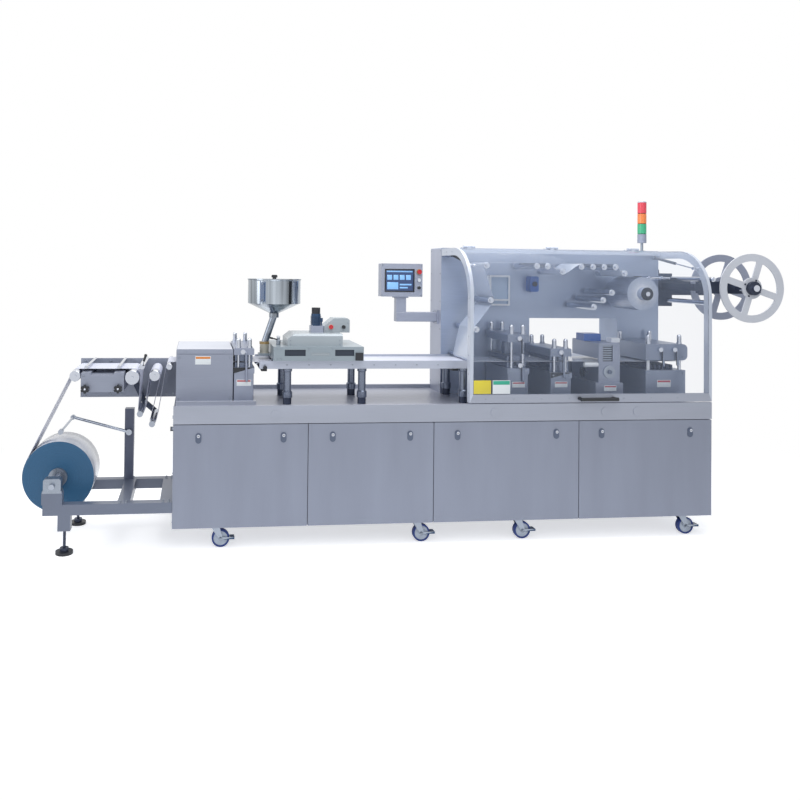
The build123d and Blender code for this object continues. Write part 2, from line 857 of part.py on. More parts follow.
def dancer_arm():
    """Swinging arm with the two dancer rollers."""
    high = infeed_plate_front - dancer_plate_gap
    low = high - dancer_plate
    half = dancer_plate_width / 2
    arm = along_y(dancer_pivot, (low, infeed_plate_front), half + dancer_boss_margin)
    for start, end in ((dancer_pivot, dancer_one[:2]), (dancer_one[:2], dancer_two[:2])):
        heading = atan2(end[1] - start[1], end[0] - start[0])
        side = (-half * sin(heading), half * cos(heading))
        arm += prism_y([(start[0] + side[0], start[1] + side[1]), (end[0] + side[0], end[1] + side[1]),
                        (end[0] - side[0], end[1] - side[1]), (start[0] - side[0], start[1] - side[1])],
                       (low, high))
    for x, z, radius in (dancer_one, dancer_two):
        arm += along_y((x, z), (low, high), half)
        arm += along_y((x, z), (roller_front, low), radius)
    return arm


def splice_table():
    """Table under the film with clamp bars and star knobs."""
    x = (splice_left, splice_left + splice_length)
    y = (splice_front, splice_front + splice_depth)
    table = block(x, y, (splice_top - splice_height, splice_top))
    left, right, depth = splice_recess
    table -= block((x[0] + left, x[1] - right), y, (splice_top - depth, splice_top))
    high, low = splice_bracket
    table += block((x[0] + splice_bracket_inset, x[1] - splice_bracket_inset), (y[1], infeed_plate_front),
                   (splice_top - low, splice_top - high))
    return table


def splice_clamps():
    """Round clamp bars over the film, held by the infeed plate."""
    parts = []
    for x in (splice_left + splice_bar_insets[0], splice_left + splice_length - splice_bar_insets[1]):
        centre = (x, splice_top + splice_bar_height)
        parts.append(along_y(centre, (web_front - splice_bar_reach, infeed_plate_front), splice_bar_radius))
    return group(*parts)


def splice_knobs():
    """Star knobs on the front of the splice table."""
    parts = []
    for x in (splice_left + splice_bar_insets[0], splice_left + splice_length - splice_bar_insets[1]):
        z = splice_top - splice_knob_drop
        near = splice_front - 12
        knob = along_y((x, z), (near, splice_front), journal_radius)
        star = along_y((x, z), (near - splice_knob_depth, near), splice_knob_radius)
        for lobe in range(splice_knob_lobes):
            angle = 2 * pi * lobe / splice_knob_lobes
            notch = (x + splice_knob_radius * cos(angle), z + splice_knob_radius * sin(angle))
            star -= along_y(notch, (near - splice_knob_depth, near), splice_knob_radius / 4)
        parts.append(knob + star)
    return group(*parts)


def heater_box():
    """Closed box that warms the film before forming."""
    x = (heater_left, heater_left + heater_length)
    y = (heater_front, heater_front + heater_depth)
    top = heater_top
    box = block(x, y, (cabinet_top, top))
    box = fillet(box.edges().filter_by(Axis.Y), 6.0)
    seam_low = top - heater_lid - panel_gap
    for low in (y[0], y[1] - panel_gap):
        box -= block((x[0], x[1]), (low, low + panel_gap), (seam_low, seam_low + panel_gap))
    return box - slot_through(x, (heater_front + heater_wall, y[1] - heater_wall))


def deck_plate():
    """Raised base plate under the heating box and the forming station."""
    return block((heater_left, forming_left + forming_width + deck_plate_margin),
                 (heater_front - deck_plate_margin, heater_front + heater_depth + deck_plate_margin),
                 (deck, cabinet_top))


def lever(x, top, length):
    """Clamp lever with its boss on a press front and a swelling grip."""
    y = station_front - lever_stand / 2
    handle = along_y((x, top), (station_front - lever_stand, station_front), lever_boss_radius)
    elbow = Vector(x + lever_reach, y, top - lever_radius)
    end = Vector(x + lever_reach + lever_lean, y, top - length)
    shoulder = elbow + (end - elbow) * 0.4
    handle += bar((x, y, top), tuple(elbow), lever_radius) + Pos(*elbow) * Sphere(lever_radius)
    handle += bar(tuple(elbow), tuple(shoulder), lever_radius)
    seat = Plane(origin=shoulder, z_dir=end - shoulder)
    up = (Align.CENTER, Align.CENTER, Align.MIN)
    handle += seat * Cone(lever_radius, lever_grip_radius, (end - shoulder).length, align=up)
    return handle + Pos(*end) * Sphere(lever_grip_radius)


def dies(x, y, foot, head_low):
    """Lower and upper die either side of the web, the upper one on a ram where it hangs low."""
    margin = post_inset + post_radius + die_margin / 3
    across = (y[0] + margin, y[1] - margin)
    along = (x[0] + die_margin, x[1] - die_margin)
    low_top = web_level - web_clearance - die_gap
    high_bottom = web_level + 2 * web_thickness + web_clearance + die_gap
    lower = block(along, across, (foot, low_top))
    if head_low - high_bottom > ram_above:
        plate_top = high_bottom + ram_above / 2
        upper = block(along, across, (high_bottom, plate_top))
        upper += upright(sum(along) / 2, sum(across) / 2, (plate_top, head_low), ram_radius)
    else:
        upper = block(along, across, (high_bottom, head_low))
    return lower, upper


def dome_nut(x, y, z):
    """Collar and domed nut on top of a guide post."""
    neck = z + dome_height - dome_radius
    nut = upright(x, y, (z, z + dome_radius - 3), dome_radius + 3)
    nut += upright(x, y, (z, neck), dome_radius)
    return nut + Pos(x, y, neck) * Sphere(dome_radius)


def press(x, heights, floor, depth, levers):
    """Four-post press: pedestal along Y, guide posts, dies, crosshead, dome nuts and levers."""
    y = (station_front, station_front + depth)
    left, right = x
    foot, head_low, head_top = heights
    pedestal = block(x, y, (floor, foot - foot_plate))
    pedestal = chamfer(pedestal.edges().filter_by(Axis.Z), 3.0)
    lip = foot_lip
    pedestal += block((left - lip, right + lip), (y[0] - lip, y[1] + lip), (foot - foot_plate, foot))
    head = block((left - 2, right + 2), y, (head_low, head_top))
    head = chamfer(head.edges().filter_by(Axis.Y).group_by(Axis.Z)[-1], 6.0)
    pieces = [pedestal, head, *dies(x, y, foot, head_low)]
    spread = post_spread * (right - left)
    for px in (left + spread, right - spread):
        for py in (y[0] + post_inset, y[1] - post_inset):
            pieces.append(upright(px, py, (foot, head_low), post_radius))
            pieces.append(dome_nut(px, py, head_top))
    for offset, rise, length in levers:
        pieces.append(lever(left + offset, track_top + rise, length))
    return group(*pieces)


def forming_station():
    """Press that forms the pockets."""
    x = (forming_left, forming_left + forming_width)
    heights = [track_top + rise for rise in forming_rises]
    return press(x, heights, cabinet_top, station_depth, [forming_lever])


def track():
    """Long tray with side rails that carries the formed web under the feeder."""
    y = (track_front, track_front + track_depth)
    x = (track_left, track_right)
    bottom = track_top - track_height
    tray = block(x, y, (bottom, bottom + track_floor))
    for low in (y[0], y[1] - track_rail):
        tray += block(x, (low, low + track_rail), (bottom, track_top))
    bed = track_top - track_bed_drop
    between = (y[0] + track_rail, y[1] - track_rail)
    tray += block(x, between, (bed - track_bed, bed))
    reach, drop = track_ramp
    ramp = [(track_left, bed - track_bed), (track_left, bed), (track_left - reach, bed - drop),
            (track_left - reach, bed - drop - track_bed)]
    return tray + prism_y(ramp, between)


def track_posts():
    """Round posts with collars that carry the track."""
    posts = []
    bottom = track_top - track_height
    for x in track_post_positions:
        for y in (track_front + track_post_inset, track_front + track_depth - track_post_rear_inset):
            post = upright(x, y, (deck, bottom), track_post_radius)
            posts.append(post + upright(x, y, (deck, deck + collar_height), collar_radius))
    return group(*posts)


def feeder_body():
    """Feeder housing over the track."""
    x = (feeder_left, feeder_left + feeder_length)
    y = (feeder_front, feeder_front + feeder_depth)
    body = fillet(block(x, y, (feeder_bottom, feeder_top)).edges().filter_by(Axis.Z), 6.0)
    for low in (track_front, track_front + track_depth - track_rail):
        support = (x[0] + feeder_support_inset, x[1] - feeder_support_inset)
        body += block(support, (low, low + track_rail), (track_top, feeder_bottom))
    seat = drum_radius + chute_seat_margin
    fx, fy = chute_foot
    z = (chute_seat - chute_seat_thickness, chute_seat)
    body += block((fx - seat, x[0] + chute_seat_lap), (fy - seat, fy + seat), z)
    face = (y[0], y[0] + feeder_recess)
    low, high = feeder_window_rises
    for start, end, base, top in [(*window, low, high) for window in feeder_windows] + [feeder_slot]:
        body -= block((x[0] + start, x[0] + end), face, (feeder_bottom + base, feeder_bottom + top))
    start, end, base, top, stand = sensor_box
    z = (feeder_bottom + base, feeder_bottom + top)
    return body + block((x[0] + start, x[0] + end), (y[0] - stand, y[0]), z)


def feeder_cover():
    """Upper cover of the feeder with chamfered ends."""
    left, right = cover_left, cover_left + cover_length
    run, rise = cover_chamfer
    front = feeder_front + cover_margin
    outline = [(left, feeder_top), (right, feeder_top), (right, cover_top), (left + run, cover_top),
               (left, cover_top - rise)]
    shell = prism_y(outline, (front, front + cover_depth))
    return chamfer(shell.faces().sort_by(Axis.Y)[0].edges().sort_by(Axis.Z)[-1], 12.0)


def feeder_drive():
    """Gearbox and upright motor on the feeder cover, with the conduit to the switch box."""
    x, y = feeder_left + motor_offset[0], feeder_front + motor_offset[1]
    left, right = feeder_left + gearbox[0], feeder_left + gearbox[1]
    near, far = feeder_front + gearbox[2], feeder_front + gearbox[3]
    height = gearbox[4]
    top = cover_top + height
    cap = top + motor_height
    drive = fillet(block((left, right), (near, far), (cover_top, top)).edges().filter_by(Axis.Z), 6.0)
    drive += upright(x, y, (top, cap), motor_radius)
    pitch = (motor_height - 2 * motor_fin_inset) / motor_fins
    for fin in range(motor_fins):
        low = top + motor_fin_inset + fin * pitch
        drive += upright(x, y, (low, low + motor_fin[0]), motor_radius + motor_fin[1])
    drive += upright(x, y, (cap, cap + motor_cap[1]), motor_cap[0])
    bend = top + motor_height / 2
    out, wide, down, up = terminal_box
    side = (x + motor_radius - out / 2, x + motor_radius + out)
    drive += block(side, (y - wide, y + wide), (bend - down, bend + up))
    elbow = x + motor_radius + out / 2
    run = top - conduit_drop
    drive += upright(elbow, y, (run - conduit_radius, bend), conduit_radius)
    return drive + bar((elbow, y, run), (feeder_left + switch_box[0], y, run), conduit_radius)


def feeder_control_box():
    """Small switch box beside the motor, with its button and knob."""
    left, right = feeder_left + switch_box[0], feeder_left + switch_box[1]
    near, far = feeder_front + switch_box[2], feeder_front + switch_box[3]
    low_corner, low_rise, high_corner, high_drop = switch_box_corners
    top = cover_top + switch_box_height
    outline = [(left, cover_top), (right, cover_top), (right, top - high_drop), (right - high_corner, top),
               (left + low_corner, top), (left, top - low_rise)]
    box = prism_y(outline, (near, far))
    for offset, rise, radius in (switch_button, switch_knob):
        x, z = feeder_left + offset, cover_top + rise
        ring = near - switch_ring[0]
        box += along_y((x, z), (ring, near), radius + switch_ring[1])
        box += along_y((x, z), (ring - switch_head, ring), radius)
    return box


def hopper():
    """Open round hopper with a cone to its outlet."""
    x, y = hopper_centre
    top = hopper_top
    waist = top - hopper_cylinder_height
    low = waist - hopper_cone_height
    profile = [(hopper_outlet_radius, low), (hopper_radius, waist), (hopper_radius, top),
               (hopper_radius - hopper_wall, top), (hopper_radius - hopper_wall, waist + 2),
               (hopper_outlet_radius - hopper_wall, low + 2), (hopper_outlet_radius - hopper_wall, low)]
    face = make_face(Polyline(*[(x + r, y, z) for r, z in profile], close=True))
    bowl = revolve(face, Axis((x, y, 0), (0, 0, 1)), 360)
    rim = hopper_radius - hopper_wall / 2
    bead = Circle(hopper_bead)
    bowl += revolve(Plane(origin=(x + rim, y, top - hopper_bead), x_dir=(1, 0, 0), z_dir=(0, -1, 0)) * bead,
                    Axis((x, y, 0), (0, 0, 1)), 360)
    width, thickness, height, angle = sight_glass
    strip = Pos(x, y, waist + hopper_cylinder_height / 2) * Rot(0, 0, angle)
    strip *= Pos(0, -hopper_radius - thickness / 2 + 2, 0)
    return bowl + strip * Box(width, thickness, height)


def hopper_lid():
    """Flat lid with a wing knob."""
    x, y = hopper_centre
    top = hopper_top + lid_thickness
    lid = upright(x, y, (hopper_top, top), hopper_radius + hopper_bead)
    lid += upright(x, y, (top, top + lid_knob[1]), lid_knob[0])
    length, width, height = lid_wing
    base = top + lid_knob[1]
    wing = block((x - length / 2, x + length / 2), (y - width / 2, y + width / 2), (base, base + height))
    wing = fillet(wing.edges().filter_by(Axis.Y).group_by(Axis.Z)[-1], width)
    return lid + wing


def hopper_chute():
    """Slanted feed tube with its ring and drum."""
    x, y = hopper_centre
    top = hopper_bottom
    foot = chute_seat + drum_height
    tube = bar((chute_foot[0], y, foot - chute_dip), (x, y, top - chute_dip), chute_radius)
    tube += upright(x, y, (top - chute_collar[1], top), chute_radius + chute_collar[0])
    fx, fy = chute_foot
    tube += upright(fx, fy, (chute_seat, foot - chute_ring[1]), drum_radius)
    tube += upright(fx, fy, (foot - chute_ring[1], foot), chute_ring[0])
    pitch = (foot - chute_ring[1] - chute_seat) / (drum_grooves + 1)
    for groove in range(1, drum_grooves + 1):
        low = chute_seat + groove * pitch - drum_groove[0] / 2
        tube -= upright(fx, fy, (low, low + drum_groove[0]), drum_radius, drum_radius - drum_groove[1])
    return tube


def panel_arm():
    """Square arm from the housing and the neck under the control panel."""
    y = (panel_front, panel_front + arm_depth)
    arm = block((neck_left, hood_left - flange_thickness), y, (arm_bottom, arm_bottom + arm_height))
    arm = fillet(arm.edges().filter_by(Axis.X), 5.0)
    x = (neck_left, neck_left + neck_width)
    neck = block(x, (y[0] + 3, y[1] - 3), (arm_bottom + arm_height, panel_bottom - flange_thickness))
    seat = (x[0] - flange_margin, x[1] + flange_margin)
    top_flange = block(seat, y, (panel_bottom - flange_thickness, panel_bottom))
    wall = (hood_left - flange_thickness, hood_left)
    wall_flange = block(wall, (y[0] - flange_margin, y[1] + flange_margin),
                        (arm_bottom - flange_margin, arm_bottom + arm_height + flange_margin))
    return group(arm, neck, top_flange, wall_flange)


def control_panel():
    """Control panel case with a recessed screen."""
    x = (panel_left, panel_left + panel_width)
    face = panel_front - panel_lip
    case = block(x, (face, panel_front + panel_depth), (panel_bottom, panel_bottom + panel_height))
    case = fillet(case.edges().filter_by(Axis.Y), 4.0)
    screen_left, screen_low = panel_left + screen_inset, panel_bottom + screen_rise
    case -= block((screen_left, screen_left + screen_width), (face, face + screen_depth),
                  (screen_low, screen_low + screen_height))
    offset, rise, collar, head = panel_stop
    place = (panel_left + offset, panel_bottom + rise)
    ring = face - panel_ring[0]
    case += along_y(place, (ring, face), collar)
    case += along_y(place, (ring - panel_stop_head, ring), head)
    for offset, rise, radius in (panel_button, panel_knob):
        bx, bz = panel_left + offset, panel_bottom + rise
        case += along_y((bx, bz), (ring, face), radius + panel_ring[1])
        case += along_y((bx, bz), (ring - panel_button_head, ring), radius)
    return case


def hood_housing():
    """Upright housing behind the hood, with the window through it."""
    housing = block((hood_left, hood_right), (housing_front, housing_rear), (deck, hood_top))
    housing = fillet(housing.edges().filter_by(Axis.Y).group_by(Axis.Z)[-1], 8.0)
    y = (housing_front, housing_rear)
    return housing - block((opening_left, opening_right), y, (opening_bottom, opening_top))


def back_panels():
    """Lift-off panels on the housing's back, left and right of the window, with louvres."""
    y = (housing_rear, housing_rear + back_panel_thickness)
    z = (cabinet_top + back_panel_inset, hood_top - back_panel_inset)
    panels = None
    for low, high in ((hood_left, opening_left), (opening_right, hood_right)):
        x = (low + back_panel_inset, high - back_panel_inset)
        panel = fillet(block(x, y, z).edges().filter_by(Axis.Y), 5.0)
        middle = (x[0] + x[1]) / 2
        slot = (middle - louvre_length / 2, middle + louvre_length / 2)
        for row in range(louvre_rows):
            base = z[0] + back_panel_inset + row * louvre_pitch
            panel -= block(slot, (y[1] - louvre_depth, y[1]), (base, base + louvre_height))
        panels = panel if panels is None else panels + panel
    return panels


def wall_fittings():
    """Glazed cabinet, web sensor and guide rod on the housing's front, behind the webs."""
    left, right = hood_left + wall_cabinet[0], hood_left + wall_cabinet[1]
    low, high = hood_top - wall_cabinet[2], hood_top - wall_cabinet[3]
    middle = hood_top - wall_cabinet_bar
    front = housing_front - wall_cabinet_depth
    case = fillet(block((left, right), (front, housing_front), (low, high)).edges().filter_by(Axis.Y), 4.0)
    edge = wall_cabinet_frame
    for bottom, top in ((low + edge, middle - edge / 2), (middle + edge / 2, high - edge)):
        case -= block((left + edge, right - edge), (front, front + edge), (bottom, top))
    sl, sr = hood_left + web_sensor[0], hood_left + web_sensor[1]
    sb, st, depth = hood_top - web_sensor[2], hood_top - web_sensor[3], web_sensor[4]
    near = housing_front - depth
    sensor = chamfer(block((sl, sr), (near, housing_front), (sb, st)).edges().filter_by(Axis.Y), 8.0)
    stand, radius = web_sensor_lens
    sensor += along_y(((sl + sr) / 2, (sb + st) / 2), (near - stand, near), radius)
    start, end = hood_right + guide_rod[0], hood_right + guide_rod[1]
    y, z = housing_front - guide_rod[2], hood_top - guide_rod[3]
    rod = bar((start, y, z), (end, y, z), guide_rod_radius)
    rod += bar((start, y, z), (start + guide_rod_grip[0], y, z), guide_rod_grip[1])
    width, reach, rise = guide_rod_bracket
    for offset in guide_rod_brackets:
        x = start + offset
        rod += block((x, x + width), (y - reach, housing_front), (z - rise, z + rise))
    return case + sensor + rod


def arch(x, inner_shift, outer_shift=0.0):
    """Hood profile between two offsets from the outer surface, between two values of X."""
    def profile(shift, past):
        left = hood_front + shift
        top = hood_top - hood_top_gap - shift
        radius = hood_radius - shift
        rear = housing_front - hood_rear_gap + past
        outline = [Line((left, hood_bottom - past), (left, top - radius)),
                   RadiusArc((left, top - radius), (left + radius, top), radius),
                   Line((left + radius, top), (rear, top)),
                   Line((rear, top), (rear, hood_bottom - past)),
                   Line((rear, hood_bottom - past), (left, hood_bottom - past))]
        flat = make_face(Wire(outline))
        turned = Plane(origin=(x[0], 0, 0), x_dir=(0, 1, 0), z_dir=(1, 0, 0)) * flat
        return extrude(turned, amount=x[1] - x[0], dir=(1, 0, 0))
    return profile(outer_shift, 0.0) - profile(inner_shift, 50.0)


def hood_frame():
    """Hinged frame of the hood: two arched ends, the front rail and the rear rail."""
    ends = ((hood_left, hood_left + hood_end_width), (hood_right - hood_end_width, hood_right))
    frame = arch(ends[0], hood_band) + arch(ends[1], hood_band)
    inner = (ends[0][1], ends[1][0])
    rail = (hood_front, hood_front + hood_rail_depth)
    frame += block(inner, rail, (hood_bottom, hood_bottom + hood_rail_height))
    rear = housing_front - hood_rear_gap
    top = hood_top - hood_top_gap
    frame += block(inner, (rear - rear_rail[0], rear), (top - rear_rail[1], top))
    return frame


def hood_window():
    """Curved clear sheet of the hood."""
    inner = (hood_left + hood_end_width, hood_right - hood_end_width)
    sheet = arch(inner, hood_sheet)
    rail = (hood_bottom - 1, hood_bottom + hood_rail_height)
    sheet -= block(inner, (hood_front - 1, hood_front + 30), rail)
    rear = housing_front - hood_rear_gap
    sheet -= block(inner, (rear - 40, rear + 1), (hood_top - 60, hood_top + 1))
    return sheet


def hood_handle():
    """Black pull handle on the front rail."""
    z = hood_bottom + hood_rail_height / 2
    y = hood_front - handle_reach
    right = handle_left + handle_length
    handle = bar((handle_left, y, z), (right, y, z), handle_radius)
    for x in (handle_left + handle_radius, right - handle_radius):
        handle += bar((x, y, z), (x, hood_front, z), handle_radius - 1)
    return handle


def strut_places():
    """Name, X and the direction to the near hood end of each gas strut."""
    return (("left", hood_left + hood_end_width + strut_inset, -1),
            ("right", hood_right - hood_end_width - strut_inset, 1))


def strut_tube(x):
    """Cylinder of a gas strut, hinged on the housing."""
    start = (x, strut_fixed[0], strut_fixed[1])
    reach = hypot(strut_moving[0] - strut_fixed[0], strut_moving[1] - strut_fixed[1])
    direction = (Vector(x, *strut_moving) - Vector(*start)) / reach
    mouth = Vector(*start) + direction * (reach * strut_tube_share)
    inner = Vector(*start) + direction * 25
    collar = Vector(*start) + direction * 8
    tube = bar(tuple(collar), tuple(mouth), strut_radius - 5)
    tube += bar(tuple(inner - direction * 5), tuple(mouth), strut_radius)
    tube -= bar(tuple(inner), tuple(mouth), strut_rod_radius + pin_clearance)
    ends = ((x - strut_eye_half, start[1], start[2]), (x + strut_eye_half, start[1], start[2]))
    tube += bar(*ends, strut_eye_radius)
    return tube - bar(*ends, strut_pin_radius + pin_clearance)


def strut_rod(x):
    """Piston rod of a gas strut with its end eye."""
    start = Vector(x, strut_fixed[0], strut_fixed[1])
    end = Vector(x, strut_moving[0], strut_moving[1])
    reach = (end - start).length
    direction = (end - start) / reach
    rod = bar(tuple(start + direction * strut_rod_start), tuple(end), strut_rod_radius)
    half = strut_eye_half
    return rod + bar((x - half, end.Y, end.Z), (x + half, end.Y, end.Z), strut_end_radius)


def strut_brackets():
    """Pins and brackets on the housing that carry the gas struts."""
    parts = []
    y, z = strut_fixed
    for _, x, side in strut_places():
        near, far, front, half = strut_ear
        wide = sorted((x + side * near, x + side * far))
        ear = block(wide, (y - front, housing_front), (z - half, z + half))
        low, high = sorted((x - side * strut_pin[0], x + side * strut_pin[1]))
        parts.append(ear + bar((low, y, z), (high, y, z), strut_pin_radius))
    return group(*parts)


def hood_studs():
    """Studs on the hood ends that the strut rods push against."""
    parts = []
    y, z = strut_moving
    for _, x, side in strut_places():
        wall = hood_left + hood_end_width if side < 0 else hood_right - hood_end_width
        low, high = sorted((x + side * strut_pin[1], wall))
        parts.append(bar((low, y, z), (high, y, z), strut_stud_radius))
    return group(*parts)


def hinge_spans(moving):
    """Ends in X of the knuckles on the hood's side or on the housing's side."""
    half = hinge_knuckle / 2
    spans = []
    for x in hinge_positions:
        if moving:
            spans.append((x - half, x + half))
        else:
            spans.append((x - 3 * half - 1, x - half - 1))
            spans.append((x + half + 1, x + 3 * half + 1))
    return spans


def hinge_side(moving):
    """Knuckles with their leaf, on the hood's top or on the housing's top."""
    y, z = hinge_pivot
    seat = hood_top - hood_top_gap if moving else hood_top
    sign = -1 if moving else 1
    near, far = y + sign * (hinge_radius - 3), y + sign * hinge_radius
    parts = None
    for low, high in hinge_spans(moving):
        knuckle = bar((low, y, z), (high, y, z), hinge_radius)
        knuckle += block((low, high), sorted((near, far)), (seat, z))
        leaf = sorted((near, y + sign * hinge_leaf))
        knuckle += block((low, high), leaf, (seat, seat + hinge_leaf_thickness))
        if moving:
            knuckle -= bar((low, y, z), (high, y, z), hinge_pin_radius + pin_clearance)
        parts = knuckle if parts is None else parts + knuckle
    if not moving:
        for x in hinge_positions:
            reach = 3 * hinge_knuckle / 2
            parts += bar((x - reach, y, z), (x + reach, y, z), hinge_pin_radius)
    return parts


def hood_rollers():
    """Guide rollers that reach forward from the housing."""
    y = (hood_roller_front, housing_front)
    rollers = [guide_roller(centre, y, hood_roller_radius) for centre in hood_roller_centres]
    lay = (lay_roller_x, web_level + 2 * web_thickness + 3 * web_clearance + lay_roller_radius)
    rollers.append(guide_roller(lay, y, lay_roller_radius))
    start = foil_roll_front - foil_hub_stand - 10
    spindle = along_y(foil_roll_centre, (start, housing_front), spindle_radius)
    return group(*rollers, spindle)


def foil_web_stops():
    """Rollers that the sealing foil follows from its roll to the track."""
    places = hood_roller_centres
    r = hood_roller_radius
    over = [(x, z, r, -1) for x, z in places]
    lay = web_level + web_thickness + 2 * web_clearance
    return [foil_roll_centre + (foil_roll_radius, -1), places[8] + (r, 1), over[7], over[4],
            places[3] + (r, 1), over[2], over[1], over[0], places[12] + (r, 1), places[13] + (r, -1),
            (lay_roller_x, lay + web_thickness + lay_roller_radius + web_clearance, lay_roller_radius, -1),
            (web_end, lay + web_thickness + 1.0 + web_clearance, 1.0, -1)]


def foil_roll():
    """Roll of sealing foil on its hub."""
    end = foil_roll_front + foil_roll_width
    return along_y(foil_roll_centre, (foil_roll_front, end), foil_roll_radius, foil_core_radius)


def foil_hub():
    """Hub that turns with the foil roll on its spindle from the housing."""
    y = (foil_roll_front - foil_hub_stand, foil_roll_front + foil_roll_width)
    return along_y(foil_roll_centre, y, foil_core_radius, spindle_radius + pin_clearance)


def hood_press(sizes, levers):
    """Press under the hood, from its left edge, width and heights."""
    offset, width, *rises = sizes
    left = hood_left + offset
    heights = [track_top + rise for rise in rises]
    return press((left, left + width), heights, deck, press_depth, levers)


def print_station():
    """Coding tower with its dial, window, side roller, handwheel and the heads on top."""
    x = (print_left, print_left + print_width)
    y = (station_front, station_front + print_depth)
    base_top, top = track_top - print_drop, track_top + print_rise
    left, right, near, far = print_base_margins
    tower = chamfer(block(x, y, (base_top, top)).edges().filter_by(Axis.Y).group_by(Axis.Z)[-1], 5.0)
    tower += block((x[0] - left, x[1] + right), (y[0] - near, y[1] + far), (deck, base_top))
    start, end, low, high, recess = print_window
    tower -= block((x[0] + start, x[0] + end), (y[0], y[0] + recess), (track_top + low, track_top + high))
    tower -= slot_through(x, (y[0] + recess + 2, y[1]))
    offset, rise, radius, stand = print_dial
    dial = (x[0] + offset, track_top + rise)
    tower += along_y(dial, (y[0] - stand, y[0]), radius)
    tower += along_y(dial, (y[0] - 2 * stand, y[0] - stand), radius / 3)
    offset, depth, rise, radius = print_roller
    roller = (y[0] + depth, track_top + rise)
    tower += bar((x[0] + offset, *roller), (x[0] + radius, *roller), radius)
    for start, end, near, far, height in (print_head, print_feed):
        tower += block((x[0] + start, x[0] + end), (y[0] + near, y[0] + far), (top, top + height))
    offset, depth, rise, radius = handwheel
    axis = (y[0] + depth, track_top + rise)
    tower += bar((x[0] + offset, *axis), (x[0], *axis), journal_radius)
    tower += bar((x[0] + offset - handwheel_width, *axis), (x[0] + offset, *axis), radius)
    return tower


def cutter_station():
    """Wide cutting press at the end of the line, with cooling fins under its crosshead."""
    x = (cutter_left, cutter_left + cutter_width)
    y = (station_front, station_front + press_depth)
    base_top = track_top - cutter_drop
    low, high = track_top + cutter_head[0], track_top + cutter_head[1]
    base = block(x, y, (deck, base_top))
    head = block((x[0], x[1] + cutter_head_overhang), y, (low, high))
    head = fillet(head.edges().filter_by(Axis.Y).group_by(Axis.X)[-1], 30.0)
    pieces = [base, head]
    for px in (x[0] + cutter_post_insets[0], x[1] - cutter_post_insets[1]):
        for py in (y[0] + post_inset, y[1] - post_inset):
            pieces.append(upright(px, py, (base_top, low), post_radius + 2))
            pieces.append(dome_nut(px, py, high))
    inset, depth_inset = cutter_fin_insets
    fins = (x[0] + inset, x[1] - inset)
    pitch = (fins[1] - fins[0]) / cutter_fins
    for fin in range(cutter_fins):
        left = fins[0] + fin * pitch
        pieces.append(block((left, left + pitch / 2), (y[0] + depth_inset, y[1] - depth_inset),
                            (base_top, base_top + cutter_fin_height)))
    for offset, rise, length in cutter_levers:
        pieces.append(lever(x[0] + offset, track_top + rise, length))
    return group(*pieces)


def tower_lamp():
    """Three-colour signal lamp on its stem."""
    x, y = lamp_centre
    flange_radius, flange_height = lamp_flange
    lamp = upright(x, y, (hood_top, hood_top + flange_height), flange_radius)
    z = hood_top + lamp_base_rise
    lamp += upright(x, y, (hood_top, z), lamp_stem_radius)
    lamp += upright(x, y, (z, z + lamp_base_height), lamp_radius)
    z += lamp_base_height
    for _ in range(3):
        lamp += upright(x, y, (z, z + lamp_gap), lamp_radius - 4)
        z += lamp_gap
        lamp += upright(x, y, (z, z + lamp_segment), lamp_radius)
        z += lamp_segment
    cap = upright(x, y, (z, z + 4 * lamp_gap), lamp_radius)
    return lamp + fillet(cap.edges().group_by(Axis.Z)[-1], 8.0)


def end_reel():
    """Open take-up reel: two spoked discs on one shaft."""
    x, z = reel_centre
    inner = reel_hub_radius - 6
    outer = reel_radius - reel_rim + 6
    far = housing_front + 2 * reel_arm_inset
    reel = along_y(reel_centre, (reel_shaft_front, far), reel_shaft_radius)
    for low in (reel_front, reel_front + reel_spacing):
        span = (low, low + reel_thickness)
        disc = along_y(reel_centre, span, reel_radius, reel_radius - reel_rim)
        disc += along_y(reel_centre, span, reel_hub_radius)
        for spoke in range(reel_spokes):
            spoke_bar = block((inner, outer), span, (-reel_spoke_width / 2, reel_spoke_width / 2))
            angle = reel_spoke_angle + 360 / reel_spokes * spoke
            disc += Pos(x, 0, z) * Rot(0, angle, 0) * spoke_bar
        bush = (low - reel_bush_length, low + reel_thickness + reel_bush_length)
        reel += disc + along_y(reel_centre, bush, reel_bush_radius)
    return reel


def reel_bracket():
    """Arm from the housing that carries the reel shaft, and the support between the discs."""
    x, z = reel_centre
    half = reel_arm_height
    near = housing_front + reel_arm_inset
    wall = hood_right + reel_plate_thickness
    rise = reel_plate_height / 2
    front, rear = reel_plate_margins
    plate = block((hood_right, wall), (near - front, housing_rear - rear), (z - rise, z + rise))
    arm = block((wall, x + half), (near, near + reel_arm_depth), (z - half, z + half))
    arm = fillet(arm.edges().filter_by(Axis.Y).group_by(Axis.X)[-1], 24.0)
    arm -= along_y((x, z), (near, near + reel_arm_inset + 2), reel_shaft_radius + pin_clearance)
    start, end, depth, thickness = reel_beam
    front = reel_front + depth
    tall = reel_beam_height
    beam = block((hood_right + start, hood_right + end), (front, near), (z - tall, z + tall))
    past, rise = reel_support
    support = block((hood_right + end, x + past), (front, front + thickness), (z - rise, z + rise))
    support = fillet(support.edges().filter_by(Axis.Y).group_by(Axis.X)[-1], 18.0)
    support -= along_y((x, z), (front, front + thickness), reel_shaft_radius + pin_clearance)
    return group(plate, arm, beam, support)


def outfeed_rollers():
    """Rollers on the housing's right end that lead the web out to the reels."""
    near = housing_front + outfeed_wall
    parts = [guide_roller(centre, (outfeed_front, near), outfeed_radius) for centre in outfeed_places]
    reach, low, high = outfeed_plate
    y = (near, near + outfeed_wall)
    plate = block((hood_right, hood_right + reach), y, (hood_top - low, hood_top - high))
    return group(plate, *parts)


